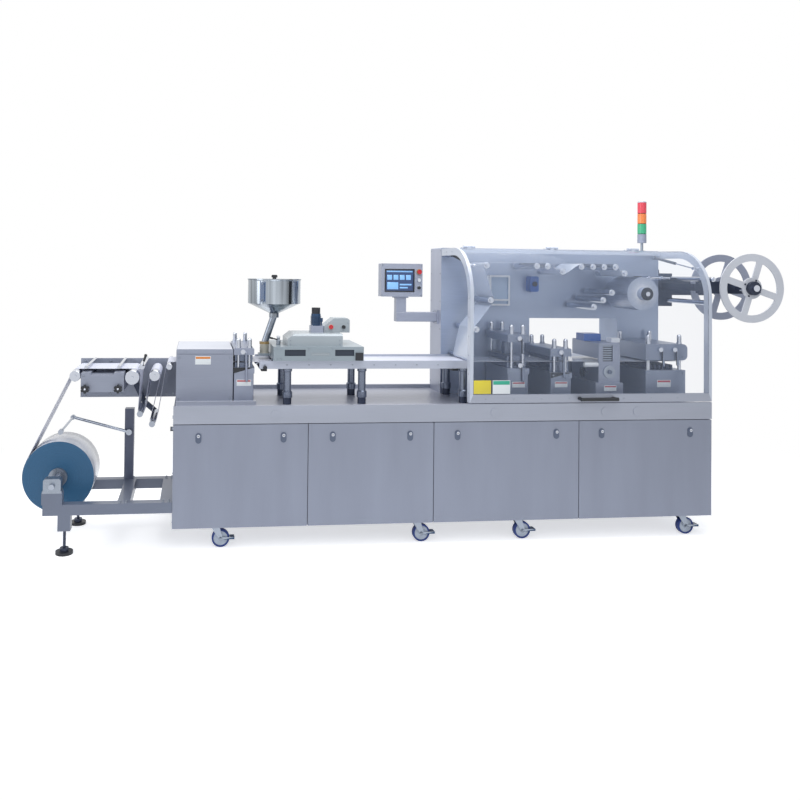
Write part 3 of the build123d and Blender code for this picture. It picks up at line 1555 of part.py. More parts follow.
nodes = {
    "cabinet_body": group(cabinet_body(), deck_plate(), caster_mounts()),
    "front_panels": panel_row((0.0, panel_thickness)),
    "rear_panels": panel_row((cabinet_depth - panel_thickness, cabinet_depth)),
    "panel_latches": group(*latch_row(0.0, -1), *latch_row(cabinet_depth, 1)),
    "fascia_fittings": group(fascia_plugs(), stop_button(), end_studs()),
    "unwinder_frame": group(unwinder_frame(), bearing_blocks()),
    "levelling_feet": levelling_feet(),
    "film_roll": film_roll(),
    "roll_shaft": roll_shaft(),
    "roll_follower": roll_follower(),
    "forming_film": web(infeed_web_stops(), (web_front, web_front + web_width)),
    "infeed_plate": infeed_plate(),
    "infeed_rollers": infeed_rollers(),
    "dancer_arm": dancer_arm(),
    "splice_table": group(splice_table(), splice_clamps(), splice_knobs()),
    "heater_box": heater_box(),
    "forming_station": forming_station(),
    "feeding_track": group(track(), track_posts()),
    "feeder_body": group(feeder_body(), feeder_cover()),
    "feeder_drive": feeder_drive(),
    "feeder_switch_box": feeder_control_box(),
    "hopper": hopper(),
    "hopper_lid": hopper_lid(),
    "hopper_chute": hopper_chute(),
    "panel_arm": panel_arm(),
    "control_panel": control_panel(),
    "hood_housing": hood_housing() + strut_brackets() + hinge_side(False) + back_panels() + wall_fittings(),
    "hood_frame": hood_frame() + hood_studs() + hood_handle() + hinge_side(True),
    "hood_window": hood_window(),
    "hood_rollers": hood_rollers(),
    "foil_roll": group(foil_roll(), foil_hub()),
    "sealing_foil": web(foil_web_stops(), (web_front, web_front + web_width)),
    "sealing_press": hood_press(punch_sizes, punch_levers),
    "cooling_press": hood_press(cool_sizes, cool_levers),
    "coding_tower": print_station(),
    "cutting_press": cutter_station(),
    "tower_lamp": tower_lamp(),
    "end_reel": end_reel(),
    "reel_bracket": group(reel_bracket(), outfeed_rollers()),
}
for side_name, strut_x, _ in strut_places():
    nodes[f"gas_strut_tube_{side_name}"] = strut_tube(strut_x)
    nodes[f"gas_strut_rod_{side_name}"] = strut_rod(strut_x)
for place, caster_x, caster_y in caster_places():
    nodes[f"caster_fork_{place}"] = caster_fork(caster_x, caster_y)
    nodes[f"caster_wheel_{place}"] = caster_wheel(caster_x, caster_y)

outline = Compound(list(nodes.values())).bounding_box()
to_origin = Pos(-outline.center().X, -outline.center().Y, 0)
os.makedirs("parts", exist_ok=True)
for name, shape in nodes.items():
    export_step(to_origin * shape, f"parts/{name}.step")
print("nodes", len(nodes), "origin at", round(outline.center().X, 3), round(outline.center().Y, 3))
print("outline", outline)
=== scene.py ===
"""Looks of a flat-plate packing line for capsules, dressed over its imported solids.

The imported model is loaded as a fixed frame. Each class below dresses one part of the machine:
it gives finishes to the faces of the solids, and adds the small pieces that only show close up,
such as screws, wound film, bare plates and the sleeves of the track's posts. Lengths written in
millimetres are in the machine's own axes: X from the cabinet's left end, Y from its front face,
Z from the floor.
"""
import json
import logging
import math
from dataclasses import dataclass
from enum import Enum
from itertools import product
from typing import Callable, Iterable, Sequence

import bmesh
import bpy
from mathutils import Matrix, Vector

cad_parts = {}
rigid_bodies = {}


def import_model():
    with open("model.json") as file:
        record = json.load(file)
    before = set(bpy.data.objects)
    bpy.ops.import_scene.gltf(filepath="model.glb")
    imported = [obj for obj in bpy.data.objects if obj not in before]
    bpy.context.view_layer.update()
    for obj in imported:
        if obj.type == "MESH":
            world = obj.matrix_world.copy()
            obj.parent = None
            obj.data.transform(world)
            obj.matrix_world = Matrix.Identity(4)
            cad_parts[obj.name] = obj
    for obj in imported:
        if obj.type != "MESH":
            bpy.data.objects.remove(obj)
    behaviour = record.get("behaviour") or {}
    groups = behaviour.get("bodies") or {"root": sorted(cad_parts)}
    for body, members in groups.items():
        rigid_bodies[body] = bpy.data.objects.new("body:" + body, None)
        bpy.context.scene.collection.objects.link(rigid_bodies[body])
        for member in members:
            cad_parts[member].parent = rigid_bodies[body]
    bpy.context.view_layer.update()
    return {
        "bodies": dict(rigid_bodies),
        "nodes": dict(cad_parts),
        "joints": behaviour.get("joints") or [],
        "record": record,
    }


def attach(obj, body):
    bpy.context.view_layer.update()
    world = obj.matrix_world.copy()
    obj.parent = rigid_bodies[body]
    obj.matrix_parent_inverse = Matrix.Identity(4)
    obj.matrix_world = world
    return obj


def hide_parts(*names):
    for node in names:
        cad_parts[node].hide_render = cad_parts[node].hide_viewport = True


LOG = logging.getLogger("packing_line")

ORIGIN_SHIFT = Vector((1446.0, 369.0, 0.0))
MM = 0.001

Point = Sequence[float]
Span = tuple[float, float]
Colour = tuple[float, float, float, float]

ANYWHERE: Span = (-1e6, 1e6)
FORWARD = (0, -1, 0)
BACKWARD = (0, 1, 0)
UPWARD = (0, 0, 1)
WHITE: Colour = (1.0, 1.0, 1.0, 1.0)

# The presses share their front face, the depth of their levers and the reach of a post's nut.
PRESS_FRONT = 165.0
LEVER_Y: Span = (100, 164.5)
LEVER_HALF = 16.0
BOSS: Span = (0, 15)
POST_REACH = 17.0
POST_TOP = 1300.0

# Materials already made, by finish. The frame brings materials of its own, some under like names.
MADE: dict["Finish", bpy.types.Material] = {}


def at(x: float, y: float, z: float) -> Vector:
    """Turn a place in the machine's axes into the row frame.

    Args:
        x: Millimetres from the cabinet's left end.
        y: Millimetres from the cabinet's front face.
        z: Millimetres above the floor.

    Returns:
        The same place in metres in the row frame.
    """
    return (Vector((x, y, z)) - ORIGIN_SHIFT) * MM


def linear(code: str) -> tuple[float, float, float, float]:
    """Turn an sRGB hex colour into the linear values that a shader takes.

    Args:
        code: Six hex digits, with or without a leading hash.

    Returns:
        Linear red, green, blue and an alpha of one.
    """
    text = code.lstrip("#")
    values = []
    for start in (0, 2, 4):
        share = int(text[start:start + 2], 16) / 255.0
        values.append(share / 12.92 if share <= 0.04045 else ((share + 0.055) / 1.055) ** 2.4)
    return values[0], values[1], values[2], 1.0


def add_node(tree: bpy.types.NodeTree, kind: str, settings: dict[str, object] | None = None,
             values: dict[str | int, object] | None = None,
             feeds: dict[str | int, bpy.types.NodeSocket] | None = None) -> bpy.types.Node:
    """Add one node with its settings, the constants on its sockets and what feeds them.

    Args:
        tree: Node tree that it joins.
        kind: Node type.
        settings: Attributes of the node.
        values: Values of its input sockets, by name or number.
        feeds: Output sockets linked to its inputs, by name or number.

    Returns:
        The new node.
    """
    node = tree.nodes.new(kind)
    for name, value in (settings or {}).items():
        setattr(node, name, value)
    for name, value in (values or {}).items():
        node.inputs[name].default_value = value
    for name, socket in (feeds or {}).items():
        tree.links.new(socket, node.inputs[name])
    return node


class Grain(Enum):
    """Direction in which a sheet was brushed, and how a finish is broken up."""

    ALONG = (1.0, 90.0, 90.0)
    UPRIGHT = (90.0, 90.0, 1.0)
    DEEP = (90.0, 1.0, 90.0)
    EVEN = (40.0, 40.0, 40.0)


@dataclass(frozen=True)
class Finish:
    """One real finish: its colour, gloss and the pattern that breaks it up.

    The grain is in cycles per metre: ten times the grain's own numbers for the fine lines,
    so a brushed sheet has lines about 1 mm apart and 100 mm long.
    """

    name: str
    colour: str
    rough: float = 0.4
    metal: float = 0.0
    grain: Grain = Grain.EVEN
    vary: float = 0.10
    bump: float = 0.04
    fine: float = 10.0
    coat: float = 0.0
    alpha: float = 1.0
    glow: float = 0.0
    rim_alpha: float = 0.0

    def build(self) -> bpy.types.Material:
        """Make the node material, or return the one already made.

        Returns:
            The material, ready to assign.
        """
        if self in MADE:
            return MADE[self]
        material = MADE[self] = bpy.data.materials.new(self.name)
        material.use_nodes = True
        tree = material.node_tree
        shader = tree.nodes["Principled BSDF"]
        values = {"Metallic": self.metal, "Coat Weight": self.coat, "Coat Roughness": 0.12,
                  "Alpha": self.alpha}
        if self.glow:
            values |= {"Emission Color": linear(self.colour), "Emission Strength": self.glow}
        for name, value in values.items():
            shader.inputs[name].default_value = value
        fine, broad = self._patterns(tree)
        both = add_node(tree, "ShaderNodeMath", {"operation": "ADD"}, {}, {0: fine, 1: broad})
        spread = add_node(tree, "ShaderNodeMapRange", {}, {"From Min": 0.7, "From Max": 1.3},
                          {"Value": both.outputs[0]})
        ramp = add_node(tree, "ShaderNodeValToRGB", {}, {}, {"Fac": spread.outputs["Result"]})
        ramp.color_ramp.elements[0].color, ramp.color_ramp.elements[1].color = self._shades()
        gloss = add_node(tree, "ShaderNodeMapRange", {}, {
            "From Min": 0.3, "From Max": 0.7,
            "To Min": max(self.rough - 0.07, 0.02), "To Max": min(self.rough + 0.07, 1.0)}, {"Value": fine})
        feeds = {"Base Color": ramp.outputs["Color"], "Roughness": gloss.outputs["Result"]}
        if self.bump:
            relief = add_node(tree, "ShaderNodeBump", {}, {"Strength": self.bump, "Distance": 0.0004},
                              {"Height": fine})
            feeds["Normal"] = relief.outputs["Normal"]
        if self.rim_alpha > self.alpha:
            edge = add_node(tree, "ShaderNodeLayerWeight", {}, {"Blend": 0.30})
            veil = add_node(tree, "ShaderNodeMapRange", {}, {"To Min": self.alpha, "To Max": self.rim_alpha},
                            {"Value": edge.outputs["Facing"]})
            feeds["Alpha"] = veil.outputs["Result"]
        for name, socket in feeds.items():
            tree.links.new(socket, shader.inputs[name])
        return material

    def _patterns(self, tree: bpy.types.NodeTree) -> list[bpy.types.NodeSocket]:
        """Add the fine and the broad noise, in object space and stretched along the grain.

        Args:
            tree: Tree of the material.

        Returns:
            The strength of the fine noise and of the broad one.
        """
        place = add_node(tree, "ShaderNodeTexCoord").outputs["Object"]
        scales = ([axis * self.fine for axis in self.grain.value],
                  [max(axis * 0.09, 1.3) for axis in self.grain.value])
        patterns = []
        for scale, detail in zip(scales, (3.0, 2.0)):
            stretch = add_node(tree, "ShaderNodeMapping", {}, {"Scale": scale}, {"Vector": place})
            noise = add_node(tree, "ShaderNodeTexNoise", {}, {"Scale": 1.0, "Detail": detail},
                             {"Vector": stretch.outputs["Vector"]})
            patterns.append(noise.outputs["Fac"])
        return patterns

    def _shades(self) -> tuple[Colour, Colour]:
        """Darker and lighter ends of the colour's variation.

        Returns:
            The dark shade and the light one, linear.
        """
        base = linear(self.colour)
        dark = tuple(channel * (1.0 - self.vary) for channel in base[:3]) + (1.0,)
        light = tuple(min(channel * (1.0 + self.vary), 1.0) for channel in base[:3]) + (1.0,)
        return dark, light


# Brushed sheet reads as soft streaks that follow the brushing, and keeps the photo's cool grey.
DOOR = Finish("brushed_door_sheet", "#8d93a3", 0.50, 0.45, Grain.UPRIGHT, 0.06, 0.05)
SHEET = Finish("brushed_fascia_sheet", "#a3a8b5", 0.45, 0.45, Grain.ALONG, 0.06, 0.05)
HOUSING = Finish("brushed_housing_sheet", "#a0acc3", 0.36, 0.55, Grain.ALONG, 0.09, 0.05)
BOX = Finish("brushed_box_sheet", "#9298a8", 0.42, 0.45, Grain.ALONG, 0.07, 0.05)
# Ground and milled metal is brighter and tighter, so edges of presses and rails catch the light.
MILLED = Finish("milled_aluminium", "#868fa2", 0.38, 0.6, Grain.DEEP, 0.10, 0.05)
PALE_MILLED = Finish("pale_milled_aluminium", "#9299ab", 0.36, 0.6, Grain.DEEP, 0.08, 0.05)
DIE = Finish("ground_die_steel", "#6d7689", 0.28, 0.85, Grain.DEEP, 0.08, 0.03)
RAIL = Finish("milled_track_rail", "#b9bfce", 0.34, 0.5, Grain.ALONG, 0.06, 0.04)
CHROME = Finish("bright_chrome", "#c6cbd6", 0.10, 1.0, Grain.EVEN, 0.03, 0.0)
GROUND = Finish("ground_steel_roller", "#a9b0bd", 0.22, 0.95, Grain.DEEP, 0.06, 0.02)
ZINC = Finish("zinc_plate", "#98a0ac", 0.33, 0.85, Grain.EVEN, 0.14, 0.05)
# Polished stainless: its strong upright bands of colour are painted reflections of the studio, not grain.
POLISHED = Finish("polished_stainless", "#a3abb4", 0.17, 1.0, Grain.UPRIGHT, 0.50, 0.0, fine=0.45)
TUBE = Finish("bent_steel_tube", "#868e9a", 0.22, 0.9, Grain.EVEN, 0.20, 0.01, fine=0.6)
PALE_TOP = Finish("pale_sheet_top", "#cdd0d9", 0.45, 0.2, Grain.ALONG, 0.03, 0.03)
DECK = Finish("brushed_deck_sheet", "#b2b5c1", 0.38, 0.5, Grain.ALONG, 0.05, 0.03)
LATCH = Finish("dull_latch_plate", "#5f687b", 0.40, 0.7, Grain.EVEN, 0.06, 0.03)
# Painted light: the housing's end faces get a lighter sheet, standing in for the light that falls on them.
LIT_SIDE_SHEET = Finish("painted_light_housing_side", "#b3b8c8", 0.42, 0.45, Grain.UPRIGHT, 0.05, 0.04)
POST_PAINT = Finish("dark_post_enamel", "#596076", 0.40, 0.2, Grain.EVEN, 0.06, 0.06, coat=0.2)
POST_STEEL = Finish("browned_post_sleeve", "#7b8394", 0.28, 0.8, Grain.UPRIGHT, 0.08, 0.02)
# Enamels have an orange-peel skin under a thin gloss.
FRAME_PAINT = Finish("grey_frame_enamel", "#6d7587", 0.38, 0.1, Grain.EVEN, 0.05, 0.08, coat=0.2)
FEEDER_PAINT = Finish("green_grey_feeder_enamel", "#939fa7", 0.36, 0.15, Grain.EVEN, 0.05, 0.07, coat=0.2)
COVER_PAINT = Finish("pale_feeder_cover_enamel", "#a7b0b6", 0.36, 0.1, Grain.EVEN, 0.04, 0.07, coat=0.2)
GREY_PAINT = Finish("light_grey_enamel", "#a0a6b7", 0.40, 0.1, Grain.EVEN, 0.04, 0.07, coat=0.2)
WHITE_PAINT = Finish("pale_frame_enamel", "#c3cad7", 0.32, 0.1, Grain.EVEN, 0.03, 0.05, coat=0.3)
BLACK = Finish("black_moulding", "#202329", 0.42, 0.0, Grain.EVEN, 0.12, 0.08)
DARK_STEEL = Finish("blackened_steel", "#3c4355", 0.40, 0.6, Grain.EVEN, 0.12, 0.06)
RECESS = Finish("shaded_recess", "#2b3442", 0.5, 0.1, Grain.EVEN, 0.10, 0.04)
BLUE_PAINT = Finish("blue_motor_enamel", "#1b4166", 0.34, 0.2, Grain.EVEN, 0.10, 0.08, coat=0.3)
DEVICE_BLUE = Finish("blue_device_moulding", "#2f5fae", 0.32, 0.0, Grain.EVEN, 0.08, 0.04, coat=0.2)
RED = Finish("red_button_plastic", "#c8202c", 0.30, 0.0, Grain.EVEN, 0.05, 0.02, coat=0.4)
WHITE_PLASTIC = Finish("white_moulding", "#dfe2e6", 0.35, 0.0, Grain.EVEN, 0.04, 0.03, coat=0.2)
TYRE = Finish("blue_tyre", "#17357c", 0.50, 0.0, Grain.EVEN, 0.12, 0.08)
HUB = Finish("pale_wheel_hub", "#c4cedb", 0.42, 0.0, Grain.EVEN, 0.06, 0.04)
CREAM = Finish("cream_plastic", "#c2c0b4", 0.38, 0.0, Grain.EVEN, 0.05, 0.03, coat=0.2)
AMBER = Finish("amber_ring", "#a58a58", 0.25, 0.0, Grain.EVEN, 0.06, 0.02, coat=0.4)
REEL_NEAR = Finish("near_reel_grey", "#d0d3da", 0.45, 0.0, Grain.EVEN, 0.05, 0.05)
# Painted shade: the reel's far flange is a darker copy of the near grey.
REEL_FAR_SHADE = Finish("far_reel_painted_shade", "#9aa0b2", 0.45, 0.0, Grain.EVEN, 0.05, 0.05)
YELLOW_PLATE = Finish("blank_yellow_plate", "#dccb3c", 0.35, 0.0, Grain.EVEN, 0.03, 0.02, coat=0.3)
WHITE_PLATE = Finish("blank_white_plate", "#e3e8ea", 0.35, 0.0, Grain.EVEN, 0.03, 0.02, coat=0.3)
GREEN_PLATE = Finish("blank_green_strip", "#2fa98c", 0.35, 0.0, Grain.EVEN, 0.03, 0.02, coat=0.3)
ORANGE_PLATE = Finish("blank_orange_plate", "#d9863f", 0.4, 0.0, Grain.EVEN, 0.03, 0.02)
RED_PLATE = Finish("blank_red_plate", "#b8434b", 0.4, 0.0, Grain.EVEN, 0.03, 0.02)
# Films: milky where wound or folded, with a soft sheen that shows the strand's edge.
FILM = Finish("clear_forming_film", "#dde0ee", 0.42, 0.0, Grain.DEEP, 0.02, 0.0, fine=0.3, alpha=0.94)
FOIL = Finish("pale_sealing_foil", "#d2dae8", 0.20, 0.25, Grain.DEEP, 0.06, 0.04, coat=0.4, alpha=0.75)
FOIL_WOUND = Finish("wound_foil", "#a2acc0", 0.30, 0.4, Grain.DEEP, 0.06, 0.05)
ACRYLIC = Finish("cast_clear_acrylic", "#b9c6dd", 0.05, 0.0, Grain.EVEN, 0.01, 0.0,
                 alpha=0.045, rim_alpha=0.36)
LIGHT_PANE = Finish("pale_cabinet_pane", "#a9bdd6", 0.10, 0.0, Grain.EVEN, 0.06, 0.0, coat=0.6)
GLASS_PANE = Finish("dark_cabinet_pane", "#4a6183", 0.10, 0.0, Grain.EVEN, 0.04, 0.0, coat=0.6)
SCREEN = Finish("screen_glass", "#16386a", 0.08, 0.0, Grain.EVEN, 0.05, 0.0, coat=0.8, glow=0.25)
TILE = Finish("screen_tile", "#7fb4e6", 0.10, 0.0, Grain.EVEN, 0.02, 0.0, coat=0.8, glow=0.35)
LAMP_RED = Finish("lamp_red", "#dd3f52", 0.18, 0.0, Grain.EVEN, 0.04, 0.0, coat=0.6, glow=0.12)
LAMP_ORANGE = Finish("lamp_orange", "#ee8442", 0.18, 0.0, Grain.EVEN, 0.04, 0.0, coat=0.6, glow=0.12)
LAMP_GREEN = Finish("lamp_green", "#38ad7d", 0.18, 0.0, Grain.EVEN, 0.04, 0.0, coat=0.6, glow=0.12)
# Wound film is white on its layered side, and its cut ends are blue with the rings of the winding.
WOUND_SIDE = Finish("wound_film_side", "#e6e9f0", 0.22, 0.0, Grain.DEEP, 0.05, 0.06, coat=0.5)
WOUND_END = Finish("wound_film_end", "#2f6289", 0.45, 0.0, Grain.EVEN, 0.08, 0.05)


Where = Callable[[Vector, Vector], bool]


def everywhere(_place: Vector, _normal: Vector) -> bool:
    """Choose every face."""
    return True


def zone(x: Span = ANYWHERE, y: Span = ANYWHERE, z: Span = ANYWHERE) -> Where:
    """Choose the faces whose middle lies in a box.

    Args:
        x: Lowest and highest X in millimetres.
        y: Lowest and highest Y.
        z: Lowest and highest Z.

    Returns:
        A test on a face's middle and normal.
    """
    def test(place: Vector, _normal: Vector) -> bool:
        """Tell whether a face's middle lies in the box."""
        spans = ((place.x, x), (place.y, y), (place.z, z))
        return all(low <= value <= high for value, (low, high) in spans)
    return test


def ring(centre: Span, radii: Span, y: Span = ANYWHERE) -> Where:
    """Choose faces by their distance from an axis along Y.

    Args:
        centre: X and Z of the axis.
        radii: Least and greatest distance in millimetres.
        y: Lowest and highest Y.

    Returns:
        A test on a face's middle and normal.
    """
    def test(place: Vector, _normal: Vector) -> bool:
        """Tell whether a face's middle lies in the ring."""
        reach = math.hypot(place.x - centre[0], place.z - centre[1])
        return radii[0] <= reach <= radii[1] and y[0] <= place.y <= y[1]
    return test


def shafts(places: Sequence[Span], radius: float, z: Span = ANYWHERE) -> Where:
    """Choose faces near upright axes, such as guide posts and their nuts.

    Args:
        places: X and Y of the axes.
        radius: Reach round each axis in millimetres.
        z: Lowest and highest Z.

    Returns:
        A test on a face's middle and normal.
    """
    def test(place: Vector, _normal: Vector) -> bool:
        """Tell whether a face's middle lies near one of the axes."""
        near = any(math.hypot(place.x - x, place.y - y) <= radius for x, y in places)
        return near and z[0] <= place.z <= z[1]
    return test


def looking(axis: Point, where: Where = everywhere) -> Where:
    """Choose the faces of a region that look along an axis.

    Args:
        axis: Direction that the faces look in.
        where: Test for the region.

    Returns:
        A test on a face's middle and normal.
    """
    way = Vector(axis)

    def test(place: Vector, normal: Vector) -> bool:
        """Tell whether a face looks along the axis and lies in the region."""
        return normal.dot(way) > 0.9 and where(place, normal)
    return test


class Painter:
    """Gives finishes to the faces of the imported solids."""

    def __init__(self, frame: dict) -> None:
        """Keep the frame's nodes.
        """
        self.nodes = frame["nodes"]

    def coat(self, node: str, base: Finish, *regions: tuple[Finish, Where]) -> None:
        """Finish one node, with other finishes where a test holds.

        Args:
            node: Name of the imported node.
            base: Finish of the whole node.
            regions: Pairs of a finish and the test for its faces; a later pair wins.
        """
        item = self.nodes[node]
        mesh = item.data
        mesh.materials.clear()
        mesh.materials.append(base.build())
        chosen = [0] * len(mesh.polygons)
        for finish, where in regions:
            mesh.materials.append(finish.build())
            slot = len(mesh.materials) - 1
            for face in mesh.polygons:
                place = face.center / MM + ORIGIN_SHIFT
                if where(place, face.normal):
                    chosen[face.index] = slot
        mesh.polygons.foreach_set("material_index", chosen)
        mesh.update()


def new_object(name: str, mesh: bpy.types.Mesh, finish: Finish, body: str) -> bpy.types.Object:
    """Put a finished mesh in the scene on a body of the machine.

    Args:
        name: Piece name.
        mesh: Its mesh, already in place in the row frame.
        finish: Its finish, or the first of them.
        body: CAD body that it moves with.

    Returns:
        The new object.
    """
    if not mesh.materials:
        mesh.materials.append(finish.build())
    item = bpy.data.objects.new(name, mesh)
    bpy.context.scene.collection.objects.link(item)
    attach(item, body)
    return item


def lathe(profile: Iterable[Point], seat: Matrix, segments: int = 48) -> bmesh.types.BMesh:
    """Turn a profile of radius and height about the seat's Z axis.

    Args:
        profile: Pairs of radius and height in millimetres.
        seat: Place and direction of the axis, in metres.
        segments: Steps round the axis.

    Returns:
        A mesh in the row frame.
    """
    mesh = bmesh.new()
    rows = []
    for radius, height in profile:
        row = []
        for step in range(segments):
            turn = 2 * math.pi * step / segments
            spot = Vector((radius * math.cos(turn), radius * math.sin(turn), height)) * MM
            row.append(mesh.verts.new(seat @ spot))
        rows.append(row)
    for near, far in zip(rows, rows[1:]):
        for step in range(segments):
            after = (step + 1) % segments
            mesh.faces.new((near[step], near[after], far[after], far[step]))
    for row in (rows[0], rows[-1]):
        mesh.faces.new(row)
    bmesh.ops.recalc_face_normals(mesh, faces=mesh.faces[:])
    return mesh


def facing(place: Vector, axis: Point) -> Matrix:
    """Seat local Z on an axis at a place.

    Args:
        place: Place in the row frame.
        axis: Direction of the axis.

    Returns:
        The matrix of the seat.
    """
    turn = Vector(axis).to_track_quat("Z", "Y")
    return Matrix.Translation(place) @ turn.to_matrix().to_4x4()


def to_mesh(name: str, source: bmesh.types.BMesh, smooth: float = 35.0) -> bpy.types.Mesh:
    """Write a working mesh out, smooth but for its sharp edges.

    Args:
        name: Mesh name.
        source: Working mesh, freed here.
        smooth: Angle in degrees above which an edge stays sharp.

    Returns:
        The finished mesh.
    """
    for edge in source.edges:
        if len(edge.link_faces) == 2 and edge.calc_face_angle(0.0) > math.radians(smooth):
            edge.smooth = False
    for face in source.faces:
        face.smooth = True
    mesh = bpy.data.meshes.new(name)
    source.to_mesh(mesh)
    source.free()
    return mesh


def soft_box(low: Point, high: Point, radius: float) -> bmesh.types.BMesh:
    """Box with rounded edges between two corners.

    Args:
        low: Lowest corner in the machine's axes.
        high: Highest corner.
        radius: Width of the rounding in millimetres.

    Returns:
        A mesh in the row frame.
    """
    mesh = bmesh.new()
    bmesh.ops.create_cube(mesh, size=1.0)
    start, end = at(*low), at(*high)
    middle, size = (start + end) / 2, end - start
    for vert in mesh.verts:
        vert.co = middle + Vector((vert.co.x * size.x, vert.co.y * size.y, vert.co.z * size.z))
    bmesh.ops.bevel(mesh, geom=mesh.edges[:], offset=radius * MM, segments=2, affect="EDGES", profile=0.5)
    return mesh


def grid(x: float | Iterable[float], y: float | Iterable[float], z: float | Iterable[float]) -> list[Point]:
    """Places at every mix of some X, Y and Z, with X changing last.

    Args:
        x: One X or several, in millimetres.
        y: One Y or several.
        z: One Z or several.

    Returns:
        The places in the machine's axes.
    """
    return list(product(*([axis] if isinstance(axis, (int, float)) else axis for axis in (x, y, z))))


class Fasteners:
    """Rows of screws and other small like pieces, placed on points by one Geometry Nodes group."""

    def __init__(self) -> None:
        """Build the node group and the store of the shapes that it repeats."""
        self.group = self._make_group()
        self.shapes = {}

    def _shape(self, kind: str, size: float) -> bpy.types.Object:
        """Small shape of one size, kept out of the scene.

        Args:
            kind: The word screw, dome, slat or slot.
            size: Radius or half length in millimetres.

        Returns:
            An object for the node group.
        """
        key = f"{kind}_{size:g}"
        if key in self.shapes:
            return self.shapes[key]
        if kind in ("slat", "slot"):
            thick = size * (0.12 if kind == "slat" else 0.22)
            source = bmesh.new()
            bmesh.ops.create_cube(source, size=1.0)
            for vert in source.verts:
                vert.co = Vector((vert.co.x * size * 2, vert.co.y * thick * 2, vert.co.z * 2.0 + 0.5)) * MM
        elif kind == "dome":
            profile = [(size, 0.0), (size * 0.92, size * 0.3), (size * 0.6, size * 0.5), (0.02, size * 0.58)]
            source = lathe(profile, Matrix.Identity(4), 16)
        else:
            height = size * 0.9
            profile = [(size * 0.999, 0.0), (size, height * 0.8), (size * 0.86, height),
                       (size * 0.52, height),
                       (size * 0.48, height * 0.4), (0.02, height * 0.4)]
            source = lathe(profile, Matrix.Identity(4), 16)
        self.shapes[key] = bpy.data.objects.new(key, to_mesh(key, source, 50.0))
        return self.shapes[key]

    @staticmethod
    def _make_group() -> bpy.types.GeometryNodeTree:
        """Node group: an instance on each point, turned to its normal, then made real.

        Returns:
            The group, with its inputs Geometry, Fastener, Finish, Turn and Seed.
        """
        tree = bpy.data.node_groups.new("FastenerRow", "GeometryNodeTree")
        for name, kind in (("Geometry", "NodeSocketGeometry"), ("Fastener", "NodeSocketObject"),
                           ("Finish", "NodeSocketMaterial"), ("Turn", "NodeSocketFloat"),
                           ("Seed", "NodeSocketInt")):
            tree.interface.new_socket(name=name, in_out="INPUT", socket_type=kind)
        tree.interface.new_socket(name="Geometry", in_out="OUTPUT", socket_type="NodeSocketGeometry")
        given = add_node(tree, "NodeGroupInput").outputs
        info = add_node(tree, "GeometryNodeObjectInfo", {}, {}, {"Object": given["Fastener"]})
        heading = add_node(tree, "GeometryNodeInputNamedAttribute", {"data_type": "FLOAT_VECTOR"},
                           {"Name": "facing"})
        align = add_node(tree, "FunctionNodeAlignRotationToVector", {"axis": "Z"}, {},
                         {"Vector": heading.outputs["Attribute"]})
        turn = add_node(tree, "FunctionNodeRandomValue", {}, {}, {"Seed": given["Seed"]})
        most = [socket for socket in turn.inputs if socket.name == "Max" and socket.type == "VALUE"][0]
        tree.links.new(given["Turn"], most)
        amount = [socket for socket in turn.outputs if socket.type == "VALUE"][0]
        spin = add_node(tree, "FunctionNodeAxisAngleToRotation", {}, {}, {"Angle": amount})
        rotate = add_node(tree, "FunctionNodeRotateRotation", {"rotation_space": "LOCAL"}, {},
                          {"Rotation": align.outputs["Rotation"], "Rotate By": spin.outputs["Rotation"]})
        place = add_node(tree, "GeometryNodeInstanceOnPoints", {}, {}, {
            "Points": given["Geometry"], "Instance": info.outputs["Geometry"],
            "Rotation": rotate.outputs["Rotation"]})
        real = add_node(tree, "GeometryNodeRealizeInstances", {}, {},
                        {"Geometry": place.outputs["Instances"]})
        finish = add_node(tree, "GeometryNodeSetMaterial", {}, {},
                          {"Geometry": real.outputs["Geometry"], "Material": given["Finish"]})
        add_node(tree, "NodeGroupOutput", {}, {}, {"Geometry": finish.outputs["Geometry"]})
        return tree

    def row(self, name: str, places: Sequence[Point], axis: Point, size: float, body: str = "machine",
            finish: Finish = ZINC, kind: str = "screw", slot: str = "zinc_steel") -> bpy.types.Object:
        """Add one group of like pieces.

        Args:
            name: Piece name.
            places: Seats of the pieces in the machine's axes.
            axis: Direction that they face.
            size: Radius or half length in millimetres.
            body: CAD body that they are on.
            finish: Their finish.
            kind: The word screw, dome, slat or slot.
            slot: Not used.

        Returns:
            The finished plain mesh object.
        """
        points = bpy.data.meshes.new(name + "_points")
        points.from_pydata([at(*place) for place in places], [], [])
        heading = points.attributes.new("facing", "FLOAT_VECTOR", "POINT")
        heading.data.foreach_set("vector", [value for _ in places for value in axis])
        carrier = bpy.data.objects.new(name + "_row", points)
        bpy.context.scene.collection.objects.link(carrier)
        modifier = carrier.modifiers.new("Fasteners", "NODES")
        modifier.node_group = self.group
        keys = {item.name: item.identifier for item in self.group.interface.items_tree
                if item.in_out == "INPUT"}
        modifier[keys["Fastener"]] = self._shape(kind, size)
        modifier[keys["Finish"]] = finish.build()
        modifier[keys["Turn"]] = 6.283 if kind in ("screw", "dome") else 0.0
        modifier[keys["Seed"]] = 7
        graph = bpy.context.evaluated_depsgraph_get()
        mesh = bpy.data.meshes.new_from_object(carrier.evaluated_get(graph))
        mesh.name = name
        bpy.data.objects.remove(carrier)
        return new_object(name, mesh, finish, body)


